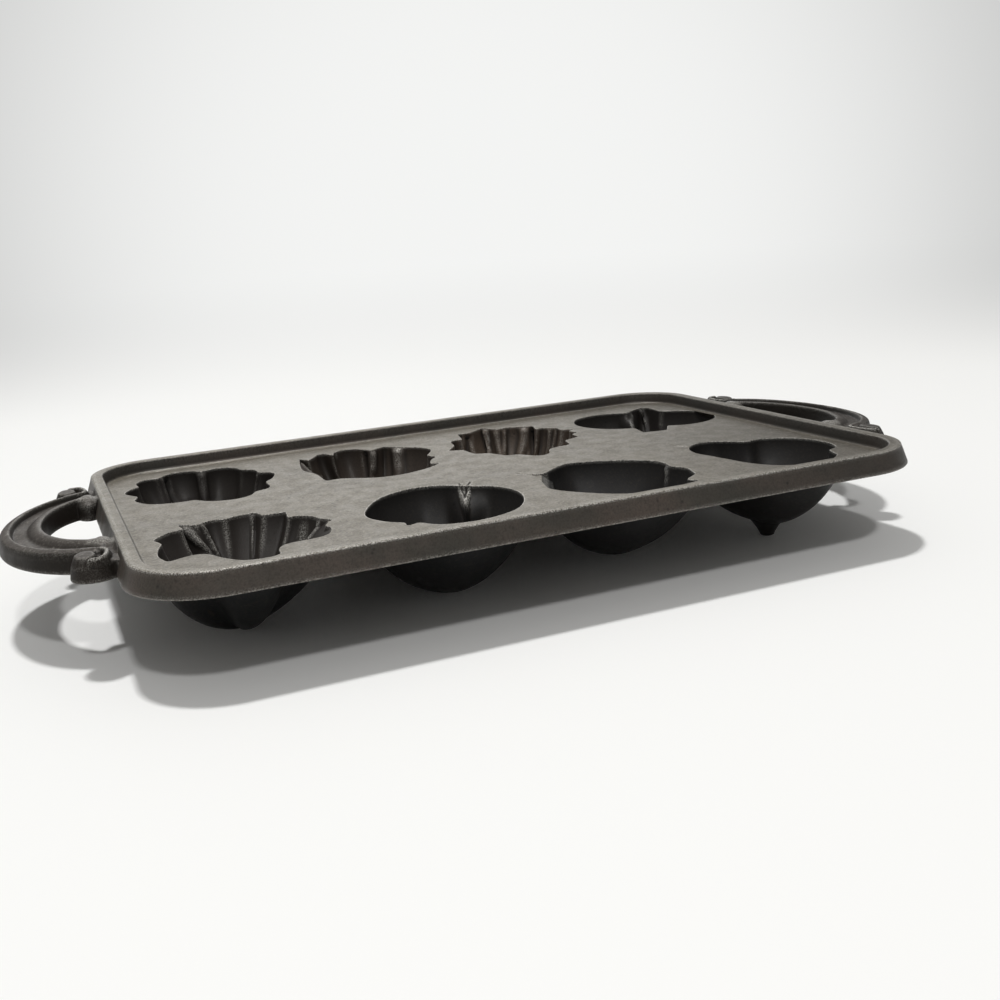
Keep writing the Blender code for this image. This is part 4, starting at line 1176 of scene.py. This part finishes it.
def cast_iron(name, brown, grey, sheen):
    """Seasoned iron: brown-black in the moulds and on the skirt, and paler grey on what faces up near the
    top: painted light, with some rubbed metal.
    """
    material = bpy.data.materials.new(name)
    tree = Tree(material)
    place = tree.node("TexCoord").outputs["Object"]
    normal = tree.node("NewGeometry").outputs["Normal"]
    wear_and_glint, tone, painted_shade = [
        tree.node("Attribute", attribute_name=word).outputs["Fac"]
        for word in ("wear_and_glint", "tone", "painted_shade")
    ]
    clouds = tree.ramp(tree.noise(place, 26.0, 4.0, 0.55), 0.35, 0.65)
    patches = tree.noise(place, 130.0, 3.0, 0.5)
    flecks = tree.noise(place, 850.0, 2.0, 0.7)
    grain = tree.noise(place, 1500.0, 2.0, 0.6)
    speckle = tree.noise(place, 2200.0, 2.0, 0.7)
    pits = tree.node("TexVoronoi", {"Vector": place, "Scale": 240.0}).outputs["Distance"]
    pit_field = tree.ramp(tree.noise(place, 60.0, 2.0), 0.44, 0.62)
    pit = tree.math("MULTIPLY", tree.ramp(pits, 0.22, 0.06), pit_field)
    # Painted glints with some rubbed metal, broken into specks
    bright_wear_and_glint = tree.math("MULTIPLY", wear_and_glint, tree.ramp(speckle, 0.42, 0.62))

    # What faces up near the deck's top is painted paler grey: painted light, with some rubbed metal
    upward = tree.ramp(tree.along(normal, "Z"), 0.6, 0.98)
    high = tree.ramp(tree.along(place, "Z"), DECK_TOP - 1.4 * MM, DECK_TOP - 0.4 * MM)
    lit_and_worn_top = tree.math("MULTIPLY", upward, high)
    redder = (0.72 * brown[0], 0.84 * brown[1], 0.84 * brown[2])
    dark = tree.mix(tone, tree.mix(clouds, redder, shaded(brown, 1.2)), PALE_BROWN)
    pale = tree.mix(clouds, shaded(grey, 0.92), shaded(grey, 1.08))
    pale = tree.mix(tree.ramp(patches, 0.4, 0.75, 0.0, 0.3), pale, shaded(grey, 0.72))
    colour = tree.mix(lit_and_worn_top, dark, pale)
    for share, tint in (
        # Painted shade that darkens the pan towards its right end
        (tree.ramp(tree.along(place, "X"), 0.02, 0.17, 0.0, 0.42), PAINTED_END_SHADE),
        # Painted shade in creases, in the stem grooves and on the border's inner wall
        (tree.math("MULTIPLY", painted_shade, 0.7), PAINTED_SHADE_BLACK),
        (tree.ramp(grain, 0.35, 0.75, 0.0, 0.4), GRAIN_BROWN),
        (tree.ramp(flecks, 0.5, 0.7, 0.0, 0.5), FLECK_BROWN),
        (tree.math("MULTIPLY", tree.ramp(flecks, 0.45, 0.3, 0.0, 0.22), lit_and_worn_top), FLECK_GREY),
        (tree.math("MULTIPLY", pit, 0.75), PIT_BLACK),
        # Painted glints and rubbed bright metal
        (tree.math("MULTIPLY", bright_wear_and_glint, 0.85), BARE_IRON_AND_GLINT),
    ):
        colour = tree.mix(share, colour, tint)

    rough = tree.ramp(patches, 0.3, 0.7, 0.42, 0.54)
    relief = tree.math("ADD", grain, tree.math("MULTIPLY", patches, 0.6))
    relief = tree.math("SUBTRACT", relief, tree.math("MULTIPLY", pit, 0.9))
    bump = tree.node("Bump", {"Strength": 0.35, "Distance": 0.18 * MM, "Height": relief})
    tree.fill(tree.nodes["Principled BSDF"], {
        "Base Color": colour,
        "Roughness": tree.math("SUBTRACT", rough, tree.math("MULTIPLY", bright_wear_and_glint, 0.12)),
        "Metallic": 0.35 * sheen,
        "Specular IOR Level": 0.6 * sheen,
        "Normal": bump.outputs["Normal"],
    })
    return material


def floor_material():
    """White table, slightly glossy, that fades into the background far from the pan."""
    material = bpy.data.materials.new("white_table")
    tree = Tree(material)
    shader = tree.nodes["Principled BSDF"]
    tree.fill(shader, {"Base Color": (*TABLE_WHITE, 1), "Roughness": 0.6, "Specular IOR Level": 0.12})
    place = tree.node("TexCoord").outputs["Object"]
    fade = tree.ramp(tree.math("DIVIDE", 1.0, tree.vector("LENGTH", place)["Value"]), 1.7, 0.2)
    away = tree.vector("SUBTRACT", place, (CAMERA_PLACE[0], CAMERA_PLACE[1], 0))["Vector"]
    direction = tree.vector("NORMALIZE", away)["Vector"]
    # Far off, the table turns into a glow in the backdrop's colour that is brightest straight ahead:
    # painted light
    strength = tree.glow(direction, AHEAD, BACKDROP_SPREAD, BACKDROP_DIM, 1.0)
    glow = tree.node("Emission", {"Color": (*BACKGROUND, 1), "Strength": strength})
    mix = tree.node("MixShader", {0: fade, 1: shader.outputs[0], 2: glow.outputs[0]})
    tree.fill(tree.nodes["Material Output"], {"Surface": mix.outputs[0]})
    return material


# Studio

def make_floor():
    bm = bmesh.new()
    bmesh.ops.create_circle(bm, cap_ends=True, segments=96, radius=TABLE_RADIUS)
    mesh = bpy.data.meshes.new("table")
    bm.to_mesh(mesh)
    bm.free()
    mesh.materials.append(floor_material())
    place_object("table", mesh)


def make_world():
    """A plain room that lights the pan, a lit backdrop to the eye, and a bright window to mirrors."""
    world = bpy.data.worlds.new("studio")
    bpy.context.scene.world = world
    tree = Tree(world)
    room = tree.nodes["Background"]
    tree.fill(room, {"Color": (*ROOM_WHITE, 1), "Strength": ROOM_GLOW})
    rays = tree.node("LightPath").outputs
    direction = tree.node("TexCoord").outputs["Generated"]
    backdrop = tree.glow(direction, AHEAD, BACKDROP_SPREAD, BACKDROP_DIM, 1.0)
    level = cos(WINDOW_HEIGHT)
    aim = (level * cos(WINDOW_HEADING), level * sin(WINDOW_HEADING), sin(WINDOW_HEIGHT))
    window = tree.glow(direction, aim, WINDOW_SPREAD, *WINDOW_GLOW)
    strength = tree.node("Mix", {"Factor": rays["Is Camera Ray"], "A": window, "B": backdrop})
    seen = tree.node("Background", {
        "Color": (*BACKGROUND, 1), "Strength": strength.outputs["Result"],
    })
    seen_there = tree.math("MAXIMUM", rays["Is Camera Ray"], rays["Is Glossy Ray"])
    mix = tree.node("MixShader", {0: seen_there, 1: room.outputs[0], 2: seen.outputs[0]})
    tree.fill(tree.nodes["World Output"], {"Surface": mix.outputs[0]})


def area_light(name, place, size, power):
    """A square lamp aimed at the middle of the pan."""
    light = bpy.data.lights.new(name, "AREA")
    light.shape = "SQUARE"
    light.size = size
    light.energy = power
    lamp = place_object(name, light)
    lamp.location = place
    lamp.rotation_euler = (-Vector(place)).to_track_quat("-Z", "Y").to_euler()


def make_camera():
    data = bpy.data.cameras.new("camera")
    data.lens = LENS
    data.sensor_width = SENSOR_WIDTH
    camera = place_object("camera", data)
    camera.location = CAMERA_PLACE
    forward = cos(CAMERA_TILT) * Vector(AHEAD) + Vector((0, 0, sin(CAMERA_TILT)))
    turn = forward.to_track_quat("-Z", "Y").to_matrix().to_4x4()
    roll = Matrix.Rotation(CAMERA_ROLL, 4, "Z")
    camera.rotation_euler = (turn @ roll).to_euler()
    bpy.context.scene.camera = camera


def put_in_frame(piece, node, material):
    piece.data.materials.clear()
    piece.data.materials.append(material)
    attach(piece, "root")
    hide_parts(node)


def main():
    bpy.context.scene.view_settings.view_transform = "Standard"
    make_camera()
    holes = [mould.hole_line() + mould.place for mould in MOULDS]
    put_in_frame(make_deck(holes), "deck", cast_iron("deck_iron", SKIRT_BROWN, LIT_AND_WORN_GREY, 1))
    put_in_frame(make_rim(), "rim", cast_iron("rim_iron", SKIRT_BROWN, LIT_AND_WORN_GREY, 0.7))
    mould_iron = cast_iron("mould_iron", CUP_BROWN, LIT_AND_WORN_GREY, 0.4)
    for mould in MOULDS:
        cup = mould.make()
        if mould.foot:
            add_foot(cup, mould)
        put_in_frame(cup, mould.name + "_mould", mould_iron)
    handle_iron = cast_iron("handle_iron", HANDLE_BROWN, HANDLE_GREY, 0.24)
    for name, turned in (("right_handle", False), ("left_handle", True)):
        handle = make_handle(name + "_casting", turned)
        put_in_frame(handle, name, handle_iron)
    make_floor()
    make_world()
    for lamp in LAMPS:
        area_light(*lamp)


main()
